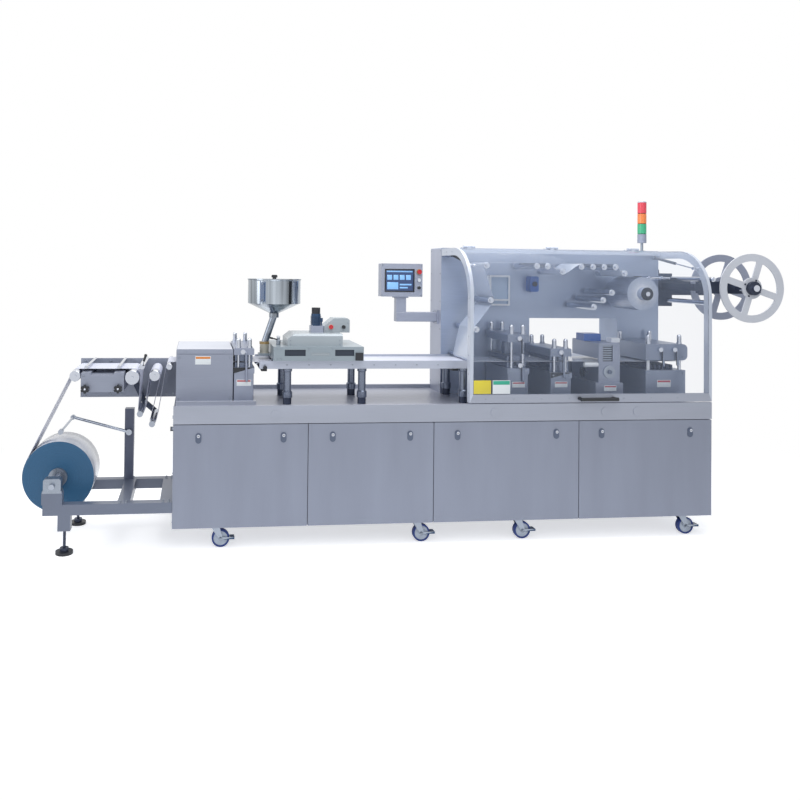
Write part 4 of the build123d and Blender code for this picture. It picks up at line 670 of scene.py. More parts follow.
def plate(name: str, x: Span, z: Span, face_y: float, finish: Finish, body: str = "machine",
          strip: Finish | None = None) -> None:
    """Add a thin bare plate on an upright face that looks forward.

    Args:
        name: Piece name.
        x: Left and right edge.
        z: Lower and upper edge.
        face_y: Y of the face behind it.
        finish: Its finish.
        body: CAD body that it is on.
        strip: Finish of its upper part, where it has one.
    """
    sheet = soft_box((x[0], face_y - 1.2, z[0]), (x[1], face_y + 0.1, z[1]), 0.4)
    new_object(name, to_mesh(name, sheet), finish, body)
    if strip:
        low = z[0] + 0.68 * (z[1] - z[0])
        top = soft_box((x[0] + 3, face_y - 1.7, low), (x[1] - 3, face_y - 1.0, z[1] - 3), 0.2)
        new_object(name + "_strip", to_mesh(name + "_strip", top), strip, body)


def turned(name: str, profile: Iterable[Point], place: Point, axis: Point, finish: Finish,
           segments: int = 24) -> None:
    """Add one small turned piece to the machine.

    Args:
        name: Piece name.
        profile: Pairs of radius and height in millimetres.
        place: Its foot in the machine's axes.
        axis: Direction of its axis.
        finish: Its finish.
        segments: Steps round the axis.
    """
    new_object(name, to_mesh(name, lathe(profile, facing(at(*place), axis), segments)), finish, "machine")


@dataclass
class Stage:
    """Floor, light and camera at the photograph's angle."""

    place: Point = (117.59, -4240.67, 1565.32)
    yaw: float = 0.11307
    pitch: float = -0.01873
    roll: float = 0.01257
    focal: float = 757.57
    principal: Span = (283.05, 255.08)
    frame: int = 800
    sensor: float = 36.0
    sky: float = 0.42
    floor_lift: float = 0.55
    card_height: float = 4.0

    def build(self) -> None:
        """Add the floor, the lamps, the world and the camera."""
        self._floor()
        self._world()
        self._lamp("key_softbox", (400, -3800, 4300), (900, 300, 900), 3.6, 84.0)
        self._lamp("top_softbox", (1700, 400, 4600), (1500, 400, 900), 4.2, 165.0)
        self._lamp("left_softbox", (-3600, -1200, 2300), (500, 300, 900), 2.6, 45.0)
        self._card("left_dark_card", (-4200, -2600, 1500), 0.9)
        self._card("right_dark_card", (7200, -2400, 1500), 2.2)
        self._camera()
        bpy.context.scene.view_settings.view_transform = "Standard"

    def _floor(self) -> None:
        """Pale floor that keeps the machine's shadow and fades to white away from it."""
        mesh = bmesh.new()
        bmesh.ops.create_grid(mesh, x_segments=1, y_segments=1, size=30.0)
        floor = bpy.data.objects.new("floor", to_mesh("floor", mesh))
        material = bpy.data.materials.new("pale_floor")
        material.use_nodes = True
        tree = material.node_tree
        shader = tree.nodes["Principled BSDF"]
        matt = {"Base Color": (0.90, 0.90, 0.90, 1.0), "Roughness": 0.95, "Specular IOR Level": 0.0}
        for name, value in matt.items():
            shader.inputs[name].default_value = value
        place = add_node(tree, "ShaderNodeTexCoord").outputs["Object"]
        squeeze = add_node(tree, "ShaderNodeMapping", {}, {"Scale": (0.55, 1.0, 1.0)}, {"Vector": place})
        reach = add_node(tree, "ShaderNodeVectorMath", {"operation": "LENGTH"}, {},
                         {0: squeeze.outputs["Vector"]})
        fade = add_node(tree, "ShaderNodeMapRange", {}, {"From Min": 1.2, "From Max": 2.6},
                        {"Value": reach.outputs["Value"]})
        lift = add_node(tree, "ShaderNodeEmission", {}, {"Color": WHITE, "Strength": self.floor_lift})
        white = add_node(tree, "ShaderNodeEmission", {}, {"Color": WHITE, "Strength": 1.0})
        near = add_node(tree, "ShaderNodeAddShader", {}, {},
                        {0: shader.outputs["BSDF"], 1: lift.outputs["Emission"]})
        seen = add_node(tree, "ShaderNodeMixShader", {}, {}, {
            "Fac": fade.outputs["Result"], 1: near.outputs["Shader"], 2: white.outputs["Emission"]})
        mix = add_node(tree, "ShaderNodeMixShader", {}, {}, {
            "Fac": self._seen_directly(tree), 1: shader.outputs["BSDF"], 2: seen.outputs["Shader"]})
        tree.links.new(mix.outputs["Shader"], tree.nodes["Material Output"].inputs["Surface"])
        floor.data.materials.append(material)
        bpy.context.scene.collection.objects.link(floor)

    @staticmethod
    def _seen_directly(tree: bpy.types.NodeTree) -> bpy.types.NodeSocket:
        """Tell direct sight from soft light.

        Args:
            tree: Tree of a material or world.

        Returns:
            One for what the camera, metal and clear sheets see, nothing for soft light.
        """
        path = add_node(tree, "ShaderNodeLightPath").outputs
        clear = add_node(tree, "ShaderNodeMath", {"operation": "MAXIMUM"}, {},
                         {0: path["Is Camera Ray"], 1: path["Is Transmission Ray"]})
        every = add_node(tree, "ShaderNodeMath", {"operation": "MAXIMUM"}, {},
                         {0: clear.outputs[0], 1: path["Is Glossy Ray"]})
        return every.outputs[0]

    def _world(self) -> None:
        """Pale surroundings that the camera, metal and clear sheets see as white."""
        world = bpy.data.worlds.new("studio")
        bpy.context.scene.world = world
        world.use_nodes = True
        tree = world.node_tree
        light = tree.nodes["Background"]
        light.inputs["Color"].default_value = (0.86, 0.91, 1.0, 1.0)
        light.inputs["Strength"].default_value = self.sky
        seen = add_node(tree, "ShaderNodeBackground", {}, {"Color": WHITE, "Strength": 1.0})
        mix = add_node(tree, "ShaderNodeMixShader", {}, {}, {
            "Fac": self._seen_directly(tree), 1: light.outputs["Background"], 2: seen.outputs["Background"]})
        tree.links.new(mix.outputs["Shader"], tree.nodes["World Output"].inputs["Surface"])

    @staticmethod
    def _lamp(name: str, place: Point, aim: Point, size: float, power: float) -> None:
        """Add one square soft lamp that points at a place.

        Args:
            name: Name of the lamp.
            place: Its middle in the machine's axes.
            aim: Place that it points at.
            size: Length of its sides in metres.
            power: Its power in watts.
        """
        data = bpy.data.lights.new(name, "AREA")
        data.shape = "SQUARE"
        data.size = size
        data.energy = power
        lamp = bpy.data.objects.new(name, data)
        lamp.location = at(*place)
        lamp.rotation_euler = (at(*aim) - at(*place)).to_track_quat("-Z", "Y").to_euler()
        bpy.context.scene.collection.objects.link(lamp)

    def _card(self, name: str, place: Point, width: float) -> None:
        """Stand up a black card beside the camera, which only polished metal shows.

        Args:
            name: Name of the card.
            place: Its middle in the machine's axes.
            width: Its width in metres.
        """
        mesh = bmesh.new()
        bmesh.ops.create_grid(mesh, x_segments=1, y_segments=1, size=0.5)
        turn = (at(900, 300, 1500) - at(*place)).to_track_quat("Z", "Y").to_matrix().to_4x4()
        wide = Matrix.Diagonal((width, self.card_height, 1.0, 1.0))
        bmesh.ops.transform(mesh, matrix=Matrix.Translation(at(*place)) @ turn @ wide, verts=mesh.verts[:])
        card = bpy.data.objects.new(name, to_mesh(name, mesh))
        card.data.materials.append(BLACK.build())
        card.visible_camera = card.visible_diffuse = card.visible_shadow = card.visible_transmission = False
        bpy.context.scene.collection.objects.link(card)

    def _camera(self) -> None:
        """Camera fitted to the photograph, with its principal point as the shift."""
        forward = Vector((math.sin(self.yaw) * math.cos(self.pitch),
                          math.cos(self.yaw) * math.cos(self.pitch),
                          -math.sin(self.pitch)))
        right = Vector((math.cos(self.yaw), -math.sin(self.yaw), 0.0))
        upward = right.cross(forward)
        turned_right = right * math.cos(self.roll) + upward * math.sin(self.roll)
        turned_up = upward * math.cos(self.roll) - right * math.sin(self.roll)
        data = bpy.data.cameras.new("camera")
        data.sensor_fit = "HORIZONTAL"
        data.sensor_width = self.sensor
        data.lens = self.focal / self.frame * self.sensor
        data.shift_x = (self.frame / 2 - self.principal[0]) / self.frame
        data.shift_y = (self.principal[1] - self.frame / 2) / self.frame
        data.clip_end = 60.0
        camera = bpy.data.objects.new("camera", data)
        matrix = Matrix((turned_right, turned_up, -forward)).transposed().to_4x4()
        matrix.translation = at(*self.place)
        camera.matrix_world = matrix
        bpy.context.scene.collection.objects.link(camera)
        bpy.context.scene.camera = camera


@dataclass
class Section:
    """One part of the machine, with what dresses it."""

    painter: Painter
    screws: Fasteners

    def dress(self) -> None:
        """Finish the part's nodes and add its small pieces."""
        raise NotImplementedError


@dataclass
class Cabinet(Section):
    """Cabinet with its doors, latches, fascia and casters."""

    length: float = 3200.0
    seams: tuple[float, ...] = (0.0, 755.0, 1484.0, 2361.0, 3200.0)
    latch_inset: float = 140.0
    latch_z: float = 635.5
    caster_x: tuple[float, ...] = (240.0, 1400.0, 2010.0, 3040.0)
    caster_y: Span = (70.0, 710.0)
    axle_z: float = 50.0
    trail: float = 32.0
    fork_half: float = 26.0
    hub_radius: float = 38.0

    def dress(self) -> None:
        """Finish the cabinet's nodes and add its screws and latch slots."""
        coat, row = self.painter.coat, self.screws.row
        base_plate = looking(UPWARD, zone(x=(8, 470), y=(150, 655), z=(776.5, 810)))
        coat("cabinet_body", SHEET, (DECK, looking(UPWARD)), (PALE_TOP, base_plate), (ZINC, zone(z=(0, 124))))
        coat("front_panels", DOOR)
        coat("rear_panels", DOOR)
        coat("panel_latches", LATCH, (CHROME, zone(y=(-20, -3.5))), (CHROME, zone(y=(783.5, 800))))
        coat("fascia_fittings", SHEET, (BLACK, zone(x=(3195, 3400))), (RED, zone(x=(3214, 3400))),
             (GROUND, zone(x=(-60, -0.5))), (BLACK, zone(x=(-60, -12.5))))
        for side, y in zip(("front", "rear"), self.caster_y):
            for number, x in enumerate(self.caster_x, 1):
                self._caster(f"{side}_{number}", x + self.trail, y)
        latches = [x for left, right in zip(self.seams, self.seams[1:])
                   for x in (left + self.latch_inset, right - self.latch_inset)]
        row("latch_slots", grid(latches, -11.0, self.latch_z), FORWARD, 5.0, finish=BLACK, kind="slot")
        for side, x, way in (("left", 0.0, -1), ("right", self.length, 1)):
            places = grid(x, (45, 390, 735), (150, 420, 690))
            row(f"cabinet_screws_{side}", places, (way, 0, 0), 5.0, kind="dome")

    def _caster(self, name: str, x: float, y: float) -> None:
        """Finish one caster and put the nuts on its axle.

        Args:
            name: Side and number of the caster.
            x: X of its axle.
            y: Y of the middle of its fork.
        """
        self.painter.coat(f"caster_fork_{name}", ZINC, (BLUE_PAINT, zone(x=(x + 52, x + 90))))
        self.painter.coat(f"caster_wheel_{name}", TYRE, (HUB, ring((x, self.axle_z), (0, self.hub_radius))))
        for end, way in (("near", -1), ("far", 1)):
            spot = (x, y + way * self.fork_half, self.axle_z)
            self.screws.row(f"axle_nut_{name}_{end}", [spot], (0, way, 0), 8.0, f"caster_{name}")


@dataclass
class Unwinder(Section):
    """Frame, roll of film and follower at the left end."""

    centre: Span = (-646.0, 373.0)
    radius: float = 200.0
    front: float = 190.0
    width: float = 260.0
    core: float = 39.0
    rings: int = 26

    def dress(self) -> None:
        """Finish the frame and build the wound roll."""
        coat, row = self.painter.coat, self.screws.row
        coat("unwinder_frame", FRAME_PAINT, (POST_PAINT, zone(x=(-310, -249), z=(272.5, 700))),
             (ZINC, zone(x=(-720, -560), z=(334, 420))))
        coat("levelling_feet", DARK_STEEL, (BLACK, zone(z=(-1, 16.5))))
        coat("roll_shaft", GROUND, (ZINC, ring(self.centre, (30, 60))))
        coat("roll_follower", GROUND)
        row("bearing_cap_screws", grid((-689, -603), (12, 46, 499, 533), 341.0), UPWARD, 5.5)
        row("frame_screws", grid((-50, -18, -284, -250), (14, 44, 501, 531), 272.0), UPWARD, 6.0)
        self._roll()

    def _roll(self) -> None:
        """Wound film: rings on the ends, fine layers round the side."""
        end = []
        for index in range(self.rings + 1):
            radius = self.core + (self.radius - 1.0 - self.core) * index / self.rings
            end.append((radius, 1.0 if index % 2 else 0.2))
        side = [(self.radius - 0.2, 2.0), (self.radius - 0.2, self.width - 2.0)]
        profile = end + side + [(radius, self.width - height) for radius, height in reversed(end)]
        seat = facing(at(self.centre[0], self.front, self.centre[1]), BACKWARD)
        mesh = to_mesh("wound_film", lathe(profile, seat, 128), 30.0)
        mesh.materials.append(WOUND_SIDE.build())
        mesh.materials.append(self._end_material())
        for face in mesh.polygons:
            y = (face.center / MM + ORIGIN_SHIFT).y
            if abs(face.normal.y) > 0.5 and min(abs(y - self.front), abs(y - self.front - self.width)) < 3:
                face.material_index = 1
        roll = new_object("wound_film", mesh, WOUND_SIDE, "film_reel")
        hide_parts("film_roll")

    def _end_material(self) -> bpy.types.Material:
        """Blue cut edges of the film, with the rings of its winding and a speckle.

        Returns:
            The material of both ends.
        """
        material = WOUND_END.build()
        tree = material.node_tree
        place = add_node(tree, "ShaderNodeTexCoord").outputs["Object"]
        centre = at(self.centre[0], self.front, self.centre[1])
        shift = add_node(tree, "ShaderNodeVectorMath", {"operation": "SUBTRACT"}, {1: centre}, {0: place})
        flat = add_node(tree, "ShaderNodeVectorMath", {"operation": "MULTIPLY"}, {1: (1.0, 0.0, 1.0)},
                        {0: shift.outputs[0]})
        reach = add_node(tree, "ShaderNodeVectorMath", {"operation": "LENGTH"}, {}, {0: flat.outputs[0]})
        rings = add_node(tree, "ShaderNodeTexNoise", {"noise_dimensions": "1D"},
                         {"Scale": 420.0, "Detail": 3.0}, {"W": reach.outputs["Value"]})
        speckle = add_node(tree, "ShaderNodeTexNoise", {}, {"Scale": 330.0, "Detail": 1.0}, {"Vector": place})
        both = add_node(tree, "ShaderNodeMath", {"operation": "ADD"}, {},
                        {0: rings.outputs["Fac"], 1: speckle.outputs["Fac"]})
        half = add_node(tree, "ShaderNodeMath", {"operation": "MULTIPLY"}, {1: 0.5}, {0: both.outputs[0]})
        shade = add_node(tree, "ShaderNodeValToRGB", {}, {}, {"Fac": half.outputs[0]})
        for stop, position, colour in zip(shade.color_ramp.elements, (0.3, 0.72), ("#17446a", "#3a7095")):
            stop.position, stop.color = position, linear(colour)
        tree.links.new(shade.outputs["Color"], tree.nodes["Principled BSDF"].inputs["Base Color"])
        return material


class Infeed(Section):
    """Rollers, dancer and splice table between the roll and the heating box."""

    def dress(self) -> None:
        """Finish the infeed's nodes and screw its plate on."""
        coat, row = self.painter.coat, self.screws.row
        coat("infeed_plate", BOX)
        coat("infeed_rollers", CHROME, (BLACK, zone(x=(-176, -140), y=(90, 120), z=(1010, 1085))))
        coat("dancer_arm", GROUND, (DARK_STEEL, zone(y=(489, 540))))
        coat("splice_table", BOX, (CHROME, zone(z=(985, 1100))), (BLACK, zone(y=(0, 109.5), z=(800, 970))))
        coat("forming_film", FILM)
        row("infeed_plate_screws", grid((-555, -400, -330, -60, -18), 529.5, (785, 985)), FORWARD, 6.0)
        row("star_knob_screws", grid((-492, -311), 78.0, 884.0), FORWARD, 6.0, finish=CHROME, kind="dome")
        row("splice_table_screws", grid((-505, -293), 110.0, 955), FORWARD, 5.0)


@dataclass
class Forming(Section):
    """Heating box and forming press."""

    posts: tuple[Span, ...] = ((365.3, 182.0), (429.7, 182.0), (365.3, 598.0), (429.7, 598.0))
    die_z: Span = (993.5, 1064.5)
    seat_y: float = 164.8

    def dress(self) -> None:
        """Finish the box and the press."""
        coat, row = self.painter.coat, self.screws.row
        coat("heater_box", BOX, (PALE_TOP, looking(UPWARD, zone(z=(1090, 1100)))))
        coat("forming_station", PALE_MILLED, (DIE, zone(y=(190, 590), z=self.die_z)),
             (CHROME, shafts(self.posts, POST_REACH, (self.die_z[0], POST_TOP))),
             (BLACK, zone(x=(376, 404), y=LEVER_Y)), (CHROME, ring((390, 1085), BOSS, LEVER_Y)))
        row("heater_box_screws", grid((24, 318), self.seat_y, (816, 1050)), FORWARD, 5.0)
        row("heater_lid_screws", grid((60, 282), self.seat_y, 1085), FORWARD, 4.0)
        plate("blank_heater_plate", (116, 206), (1010, 1058), PRESS_FRONT, WHITE_PLATE, strip=ORANGE_PLATE)
        plate("blank_forming_plate", (356, 440), (886, 922), PRESS_FRONT, WHITE_PLATE, strip=RED_PLATE)


@dataclass
class Feeding(Section):
    """Track, feeder, motor, hopper and chute."""

    hopper: Span = (588.0, 350.0)
    hopper_radius: float = 160.0
    glass_turn: float = 31.0
    posts_x: tuple[float, ...] = (655.0, 1100.0, 1722.0)
    posts_y: Span = (188.0, 500.0)
    motor: Span = (838.0, 300.0)
    red_button: Span = (925.0, 1222.0)
    black_knob: Span = (1002.0, 1222.0)

    def dress(self) -> None:
        """Finish the track, the feeder and what stands on it."""
        coat, row = self.painter.coat, self.screws.row
        coat("feeding_track", RAIL, (CHROME, zone(z=(0, 982))), (DARK_STEEL, zone(z=(774, 815))))
        left, right, middle = (zone(x=x, y=(120.5, 125.5), z=(1060, 1104))
                               for x in ((629, 753), (925, 1040), (785, 896)))
        coat("feeder_body", FEEDER_PAINT, (COVER_PAINT, zone(z=(1117.5, 1200))), (RECESS, left),
             (RECESS, right), (COVER_PAINT, middle),
             (BLACK, zone(x=(1046, 1092), y=(100, 119.5), z=(1037, 1084))))
        coat("feeder_drive", GREY_PAINT, (BLUE_PAINT, shafts([self.motor], 36, (1228.5, 1299))),
             (BLACK, shafts([self.motor], 28, (1299.2, 1400))),
             (BLUE_PAINT, zone(x=(861, 882), z=(1250, 1276))))
        coat("feeder_switch_box", COVER_PAINT, (RED, ring(self.red_button, (0, 13.5), (253, 264.6))),
             (BLACK, ring(self.black_knob, (0, 12), (253, 264.6))),
             (CREAM, ring(self.red_button, (0, 17), (264.8, 269.5))))
        # The hopper's upright colour bands are painted reflections.
        coat("hopper", POLISHED, (GLASS_PANE, zone(x=(488, 520), y=(195, 226), z=(1370, 1490))))
        coat("hopper_lid", POLISHED, (BLACK, zone(z=(1508, 1600))))
        coat("hopper_chute", TUBE, (CREAM, zone(z=(0, 1111.5))),
             (AMBER, zone(z=(1111.6, 1128), x=(495, 570))), (POLISHED, zone(z=(1285, 1400))))
        self._glass_studs()
        row("feeder_screws", grid((585, 611, 771, 910, 1078), 120.0, (1048, 1106))[:-1], FORWARD, 3.5)
        row("feeder_cover_screws", grid((668, 960), 160.0, (1128, 1150)), FORWARD, 3.5)
        row("gearbox_screws", grid((812, 872), (271, 329), 1228.0), UPWARD, 4.0)
        row("track_screws", grid(range(520, 1690, 130), 170.0, 1006.0), FORWARD, 4.0)
        row("switch_box_screws", grid((896, 1029), 270.0, (1198, 1246)), FORWARD, 3.0)
        self._valve()
        self._track_ends()
        self._sleeves()

    def _glass_studs(self) -> None:
        """Two screws that hold the sight glass on the hopper."""
        turn = math.radians(self.glass_turn)
        way = Vector((-math.sin(turn), -math.cos(turn), 0.0))
        spot = Vector((*self.hopper, 0.0)) + way * (self.hopper_radius + 5)
        self.screws.row("sight_glass_screws", grid(spot.x, spot.y, (1384, 1478)), tuple(way), 4.5)

    @staticmethod
    def _valve() -> None:
        """Small valve beside the chute's drum: body, white knob and black lever."""
        body = [(11, 0), (13, 2), (13, 26), (9, 30), (9, 38), (0.02, 38)]
        knob = [(6, 0), (11, 3), (12, 10), (9, 15), (0.02, 16)]
        lever = [(4, 0), (4, 34), (6, 40), (6, 54), (0.02, 57)]
        turned("valve_body", body, (606, 250, 1117), UPWARD, ZINC)
        turned("valve_knob", knob, (606, 250, 1155), UPWARD, WHITE_PLASTIC)
        turned("valve_lever", lever, (606, 250, 1146), (-1, -0.25, 0.25), BLACK)

    @staticmethod
    def _track_ends() -> None:
        """Black pads under the track's ends and the knob at its left end."""
        for number, x in enumerate((500, 1655), 1):
            pad = to_mesh(f"track_pad_{number}", soft_box((x, 180, 968), (x + 34, 520, 983), 2.0))
            new_object(f"track_pad_{number}", pad, BLACK, "machine")
        knob = [(4, 0), (4, 9), (11, 12), (12, 20), (9, 24), (0.02, 25)]
        turned("track_knob", knob, (520, 170, 992), FORWARD, BLACK)

    def _sleeves(self) -> None:
        """Thick dark sleeves round the track's posts, with a flange on top."""
        profile = [(16, 0), (30, 0), (30, 34), (23, 40), (23, 150), (28, 154), (28, 166), (16, 166)]
        for number, place in enumerate(grid(self.posts_x, self.posts_y, 815), 1):
            turned(f"post_sleeve_{number}", profile, place, UPWARD, POST_STEEL, 32)


@dataclass
class Panel(Section):
    """Operator's panel on its arm."""

    face: float = 590.0
    fittings_x: float = 1564.0

    def dress(self) -> None:
        """Finish the arm, the case, the screen and the buttons."""
        coat, row = self.painter.coat, self.screws.row
        coat("panel_arm", GREY_PAINT)
        button = ring((self.fittings_x, 1505), (0, 10.6), (575, 586.2))
        knob = ring((self.fittings_x, 1455), (0, 11.6), (575, 586.2))
        collar = ring((self.fittings_x, 1559), (0, 18.6), (585.5, 589.5))
        stop = ring((self.fittings_x, 1559), (0, 14.6), (565, 586.2))
        coat("control_panel", GREY_PAINT, (SCREEN, zone(x=(1339, 1530), y=(590.5, 593.6), z=(1431, 1573))),
             (CHROME, zone(x=(1540, 1590), y=(580, 589.5), z=(1430, 1530))),
             (WHITE_PLASTIC, button), (BLACK, knob), (AMBER, collar), (RED, stop))
        row("panel_screws", grid((1321, 1579), self.face, (1405, 1603)), FORWARD, 4.0)
        self._bezel()
        self._tiles()
        row("arm_flange_screws", grid(1688.0, (593, 667), (1227, 1301)), (-1, 0, 0), 4.5)

    def _bezel(self) -> None:
        """Dark moulded frame round the screen."""
        bars = (((1335, 1534), (1569, 1577)), ((1335, 1534), (1427, 1435)),
                ((1335, 1343), (1435, 1569)), ((1526, 1534), (1435, 1569)))
        for number, (x, z) in enumerate(bars, 1):
            bar = soft_box((x[0], self.face - 2.5, z[0]), (x[1], self.face + 0.5, z[1]), 0.8)
            name = f"screen_bezel_{number}"
            new_object(name, to_mesh(name, bar), BLACK, "machine")

    @staticmethod
    def _tiles() -> None:
        """Plain lit tiles on the screen, with nothing written on them."""
        tiles = [((1348, 1521), (1556, 1565))]
        tiles += [((1352 + 42 * step, 1384 + 42 * step), (1506, 1538)) for step in range(4)]
        tiles += [((1352, 1426), (1444, 1490)), ((1436, 1515), (1470, 1480)), ((1436, 1490), (1450, 1460))]
        mesh = bmesh.new()
        for x, z in tiles:
            part = soft_box((x[0], 592.2, z[0]), (x[1], 593.2, z[1]), 0.3)
            copy = bpy.data.meshes.new("tile")
            part.to_mesh(copy)
            part.free()
            mesh.from_mesh(copy)
            bpy.data.meshes.remove(copy)
        new_object("screen_tiles", to_mesh("screen_tiles", mesh), TILE, "machine")


@dataclass
class Hood(Section):
    """Housing, curved hood, rollers and foil."""

    left: float = 1696.0
    right: float = 3200.0
    front: float = 535.0
    rear: float = 760.0
    foil_axis: Span = (2876.0, 1441.0)
    hinges: tuple[float, ...] = (1880.0, 2448.0, 3016.0)

    def dress(self) -> None:
        """Finish the housing, the hood and all that shows through it."""
        coat = self.painter.coat
        sensor = zone(x=(2271, 2329), y=(455, 534.5), z=(1438, 1541))
        lens = zone(x=(2280, 2320), y=(455, 468.5))
        cabinet = zone(x=(2005, 2145), y=(485, 534.5), z=(1346, 1545))
        panes = zone(x=(2017, 2133), y=(493.5, 505.5), z=(1358, 1533))
        rod = zone(x=(2990, 3250), y=(466, 534), z=(1522, 1552))
        grip = zone(x=(2990, 3043), y=(466, 494), z=(1522, 1552))
        # Both end faces of the housing take the lighter sheet as painted light.
        coat("hood_housing", HOUSING, (DEVICE_BLUE, sensor), (BLACK, lens), (WHITE_PLASTIC, cabinet),
             (LIGHT_PANE, panes), (CHROME, rod), (BLACK, grip), (WHITE_PAINT, zone(z=(1718.2, 1745))),
             (LIT_SIDE_SHEET, zone(x=(1690, 1696.6))), (LIT_SIDE_SHEET, zone(x=(3199.4, 3210))),
             (DOOR, zone(y=(760.5, 770))), (BLACK, zone(y=(764, 766.5), z=(850, 1000))))
        coat("hood_frame", WHITE_PAINT, (BLACK, zone(x=(2340, 2590), y=(-60, -0.5))),
             (SHEET, zone(x=(1717, 3179), y=(-1, 25), z=(800, 854))))
        coat("hood_window", ACRYLIC)
        coat("hood_rollers", GROUND, (CHROME, looking(FORWARD, zone(y=(100, 260)))))
        coat("foil_roll", FOIL_WOUND, (BLACK, ring(self.foil_axis, (0, 39.5))),
             (WHITE_PLASTIC, ring(self.foil_axis, (40.5, 62))))
        coat("sealing_foil", FOIL)
        for side in ("left", "right"):
            coat(f"gas_strut_tube_{side}", BLACK)
            coat(f"gas_strut_rod_{side}", CHROME)
        self._fasten()
        plate("blank_yellow_plate", (1718, 1822), (858, 936), 0.0, YELLOW_PLATE, "hood")
        plate("blank_white_plate", (1832, 1938), (858, 936), 0.0, WHITE_PLATE, "hood", GREEN_PLATE)

    def _fasten(self) -> None:
        """Screws of the rail, the arched ends, the housing and its back panels."""
        row = self.screws.row
        rail = grid([x for x in range(1790, 3150, 170) if not 2330 < x < 2600], 0.0, 829.0)
        row("hood_rail_screws", rail, FORWARD, 4.0, "hood", kind="dome")
        for side, x, way in (("left", self.left, -1), ("right", self.right, 1)):
            edge = grid(x, 23.0, range(860, 1420, 110)) + grid(x, (330, 430), 1689.0)
            row(f"hood_end_screws_{side}", edge, (way, 0, 0), 4.0, "hood", kind="dome")
            upright = grid(x, (555, 742), (830, 1010, 1190, 1370, 1550, 1700))
            upright = [spot for spot in upright if not (way < 0 and spot[1] < 700 and 1200 < spot[2] < 1320)]
            row(f"housing_screws_{side}", upright, (way, 0, 0), 5.0, kind="dome")
        back = grid((1752, 2240, 2963, 3144), self.rear + 8.0, (856, 1259, 1662))
        row("back_panel_screws", back, BACKWARD, 6.0)
        row("hinge_screws_hood", grid(self.hinges, 500, 1715), UPWARD, 4.0, "hood")
        leaves = [(x + shift, 566, 1721) for x in self.hinges for shift in (-39, 39)]
        row("hinge_screws_housing", leaves, UPWARD, 4.0)
        sides = grid((2276, 2927), self.front, (1000, 1137, 1275))
        ends = grid((2450, 2600, 2750), self.front, (992, 1284))
        row("opening_screws", sides + ends, FORWARD, 4.0, kind="dome")


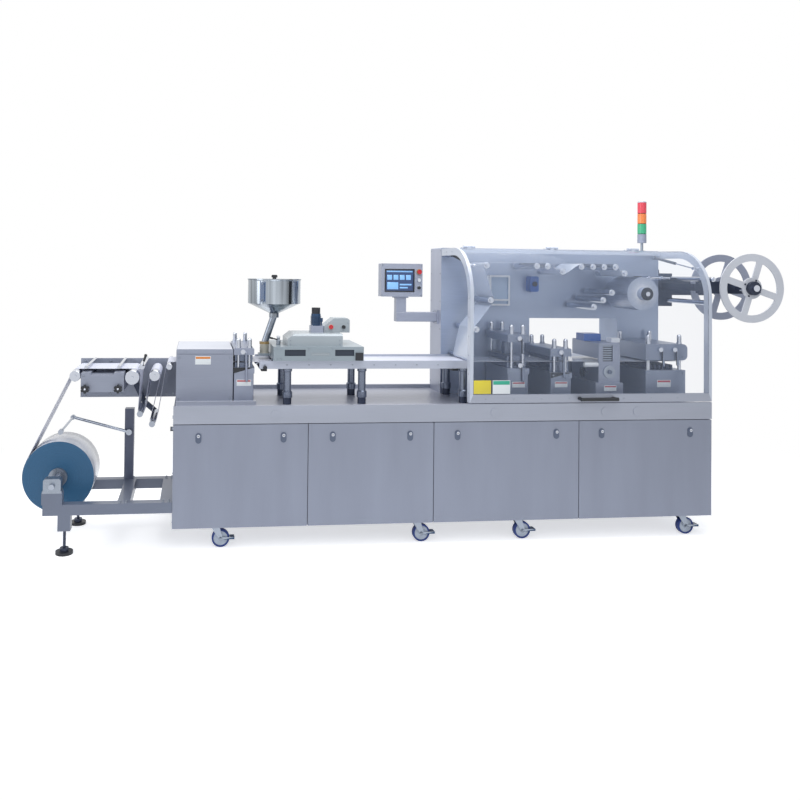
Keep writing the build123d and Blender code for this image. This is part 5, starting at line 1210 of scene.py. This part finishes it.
@dataclass
class Stations(Section):
    """Sealing, cooling and cutting presses and the coding tower."""

    rows: Span = (182.0, 498.0)
    cutter_levers: tuple[Span, ...] = ((2967, 1098), (3060, 1098))
    cutter_die_z: Span = (970.5, 1030.5)
    dial: Span = (2640.0, 961.0)
    tower_front: float = 150.0

    def dress(self) -> None:
        """Finish the stations under the hood and add their small parts."""
        self._press("sealing_press", (1994, 2122), (983, 1141, 1189), ((2058, 1166), (2062, 1003)))
        self._press("cooling_press", (2266, 2396), (958, 1055, 1103), ((2322, 1082),))
        self._cutter()
        self._tower()
        for name, x, z, face in (("sealing", (2022, 2102), (868, 902), PRESS_FRONT),
                                 ("cooling", (2292, 2372), (868, 902), PRESS_FRONT),
                                 ("tower", (2600, 2680), (846, 880), self.tower_front),
                                 ("cutter", (2955, 3045), (866, 910), PRESS_FRONT)):
            plate(f"blank_{name}_plate", x, z, face, WHITE_PLATE, strip=RED_PLATE)

    def _press(self, node: str, x: Span, z: Point, levers: Sequence[Span]) -> None:
        """Finish one four-post press.

        Args:
            node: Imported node.
            x: Left and right side.
            z: Top of the foot, and lower and upper side of the crosshead.
            levers: Axes of its levers in X and Z.
        """
        spread = 0.22 * (x[1] - x[0])
        posts = [(px, py) for px in (x[0] + spread, x[1] - spread) for py in self.rows]
        arms = [(BLACK, zone(x=(lever[0] - LEVER_HALF, lever[0] + LEVER_HALF), y=LEVER_Y))
                for lever in levers]
        bosses = [(CHROME, ring(lever, BOSS, LEVER_Y)) for lever in levers]
        self.painter.coat(node, MILLED, (DIE, zone(y=(190, 480), z=(z[0] + 0.5, z[1] - 0.5))),
                          (CHROME, shafts(posts, POST_REACH, (z[0] + 0.5, POST_TOP))), *arms, *bosses)
        foot = grid((x[0] + 14, x[1] - 14), PRESS_FRONT - 4.0, z[0] - 17)
        self.screws.row(f"{node}_screws", foot, FORWARD, 5.0)
        head = grid((x[0] + 12, x[1] - 12), PRESS_FRONT, (z[1] + z[2]) / 2)
        self.screws.row(f"{node}_head_screws", head, FORWARD, 4.5)

    def _cutter(self) -> None:
        """Finish the cutting press with its dark fins and pale front post."""
        posts = [(px, py) for px in (2906, 3112) for py in self.rows]
        arms = [(BLACK, zone(x=(x - 17, x + 17), y=LEVER_Y)) for x, _ in self.cutter_levers]
        bosses = [(CHROME, ring(lever, BOSS, LEVER_Y)) for lever in self.cutter_levers]
        self.painter.coat("cutting_press", MILLED,
                          (DARK_STEEL, zone(x=(2925, 3095), y=(190, 480), z=self.cutter_die_z)),
                          (CHROME, shafts(posts, POST_REACH, (self.cutter_die_z[0], POST_TOP))),
                          (WHITE_PLASTIC, shafts(posts[:1], 12.0, self.cutter_die_z)), *arms, *bosses)
        self.screws.row("cutter_screws", grid((2894, 3128), PRESS_FRONT, (800, 950, 1050)), FORWARD, 5.0)

    def _tower(self) -> None:
        """Finish the coding tower and put the slats in its window."""
        window = zone(x=(2599, 2664), y=(165.5, 178), z=(1024, 1124))
        self.painter.coat("coding_tower", PALE_MILLED, (RECESS, window),
                          (ZINC, ring(self.dial, (0, 39), (156, 164.6))),
                          (LATCH, ring(self.dial, (0, 14), (148, 157.2))),
                          (WHITE_PLASTIC, zone(x=(2480, 2572.5), z=(985, 1020))),
                          (DEVICE_BLUE, zone(x=(2545, 2665), y=(295, 405), z=(1138.5, 1190))),
                          (WHITE_PLASTIC, zone(x=(2675, 2731), y=(195, 265), z=(1138.5, 1190))),
                          (BLACK, zone(x=(2530, 2545.5), y=(265, 335), z=(905, 980))))
        slats = grid(2631.5, 172.0, range(1034, 1120, 14))
        self.screws.row("tower_window_slats", slats, FORWARD, 30.0, kind="slat")
        self.screws.row("tower_screws", grid((2583, 2700), PRESS_FRONT, (912, 1126)), FORWARD, 4.0)


@dataclass
class EndGear(Section):
    """Signal lamp, take-up reel and its bracket."""

    centre: Span = (3525.0, 1484.0)
    bolt_circle: float = 54.0
    bolt_turn: float = 63.0

    def dress(self) -> None:
        """Finish the lamp and the reel."""
        coat, row = self.painter.coat, self.screws.row
        coat("tower_lamp", GREY_PAINT, (ZINC, zone(z=(1718, 1776))), (LAMP_GREEN, zone(z=(1841.2, 1907))),
             (LAMP_ORANGE, zone(z=(1911.2, 1977))), (LAMP_RED, zone(z=(1981.2, 2047))),
             (BLACK, zone(z=(1836.5, 1841.1))), (BLACK, zone(z=(1907.2, 1911))),
             (BLACK, zone(z=(1977.2, 1981))))
        bush = ring(self.centre, (0, 42.6))
        # The far flange takes the darker copy of the reel's grey as painted shade.
        coat("end_reel", REEL_NEAR, (REEL_FAR_SHADE, zone(y=(355, 373))),
             (DARK_STEEL, lambda place, normal: bush(place, normal) and not 79.9 <= place.y <= 88.1),
             (CHROME, ring(self.centre, (0, 20.6))))
        coat("reel_bracket", DARK_STEEL, (CHROME, zone(x=(3225, 3310), y=(80, 540), z=(1375, 1560))),
             (DARK_STEEL, zone(x=(3227, 3259), y=(204, 566), z=(1461, 1507))))
        turns = (math.radians(self.bolt_turn + 90 * step) for step in range(4))
        bolts = [(self.centre[0] + self.bolt_circle * math.cos(turn), 80.0,
                  self.centre[1] + self.bolt_circle * math.sin(turn)) for turn in turns]
        row("reel_bolts", bolts, FORWARD, 5.5, "take_up_reel", DARK_STEEL)
        row("reel_plate_screws", grid(3212.0, (556, 738), (1392, 1576)), (1, 0, 0), 6.0)


def main() -> None:
    """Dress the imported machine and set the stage."""
    logging.basicConfig(level=logging.INFO)
    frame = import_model()
    painter = Painter(frame)
    screws = Fasteners()
    for section in (Cabinet, Unwinder, Infeed, Forming, Feeding, Panel, Hood, Stations, EndGear):
        section(painter, screws).dress()
        LOG.info("dressed %s", section.__name__)
    Stage().build()


if __name__ == "__main__":
    main()
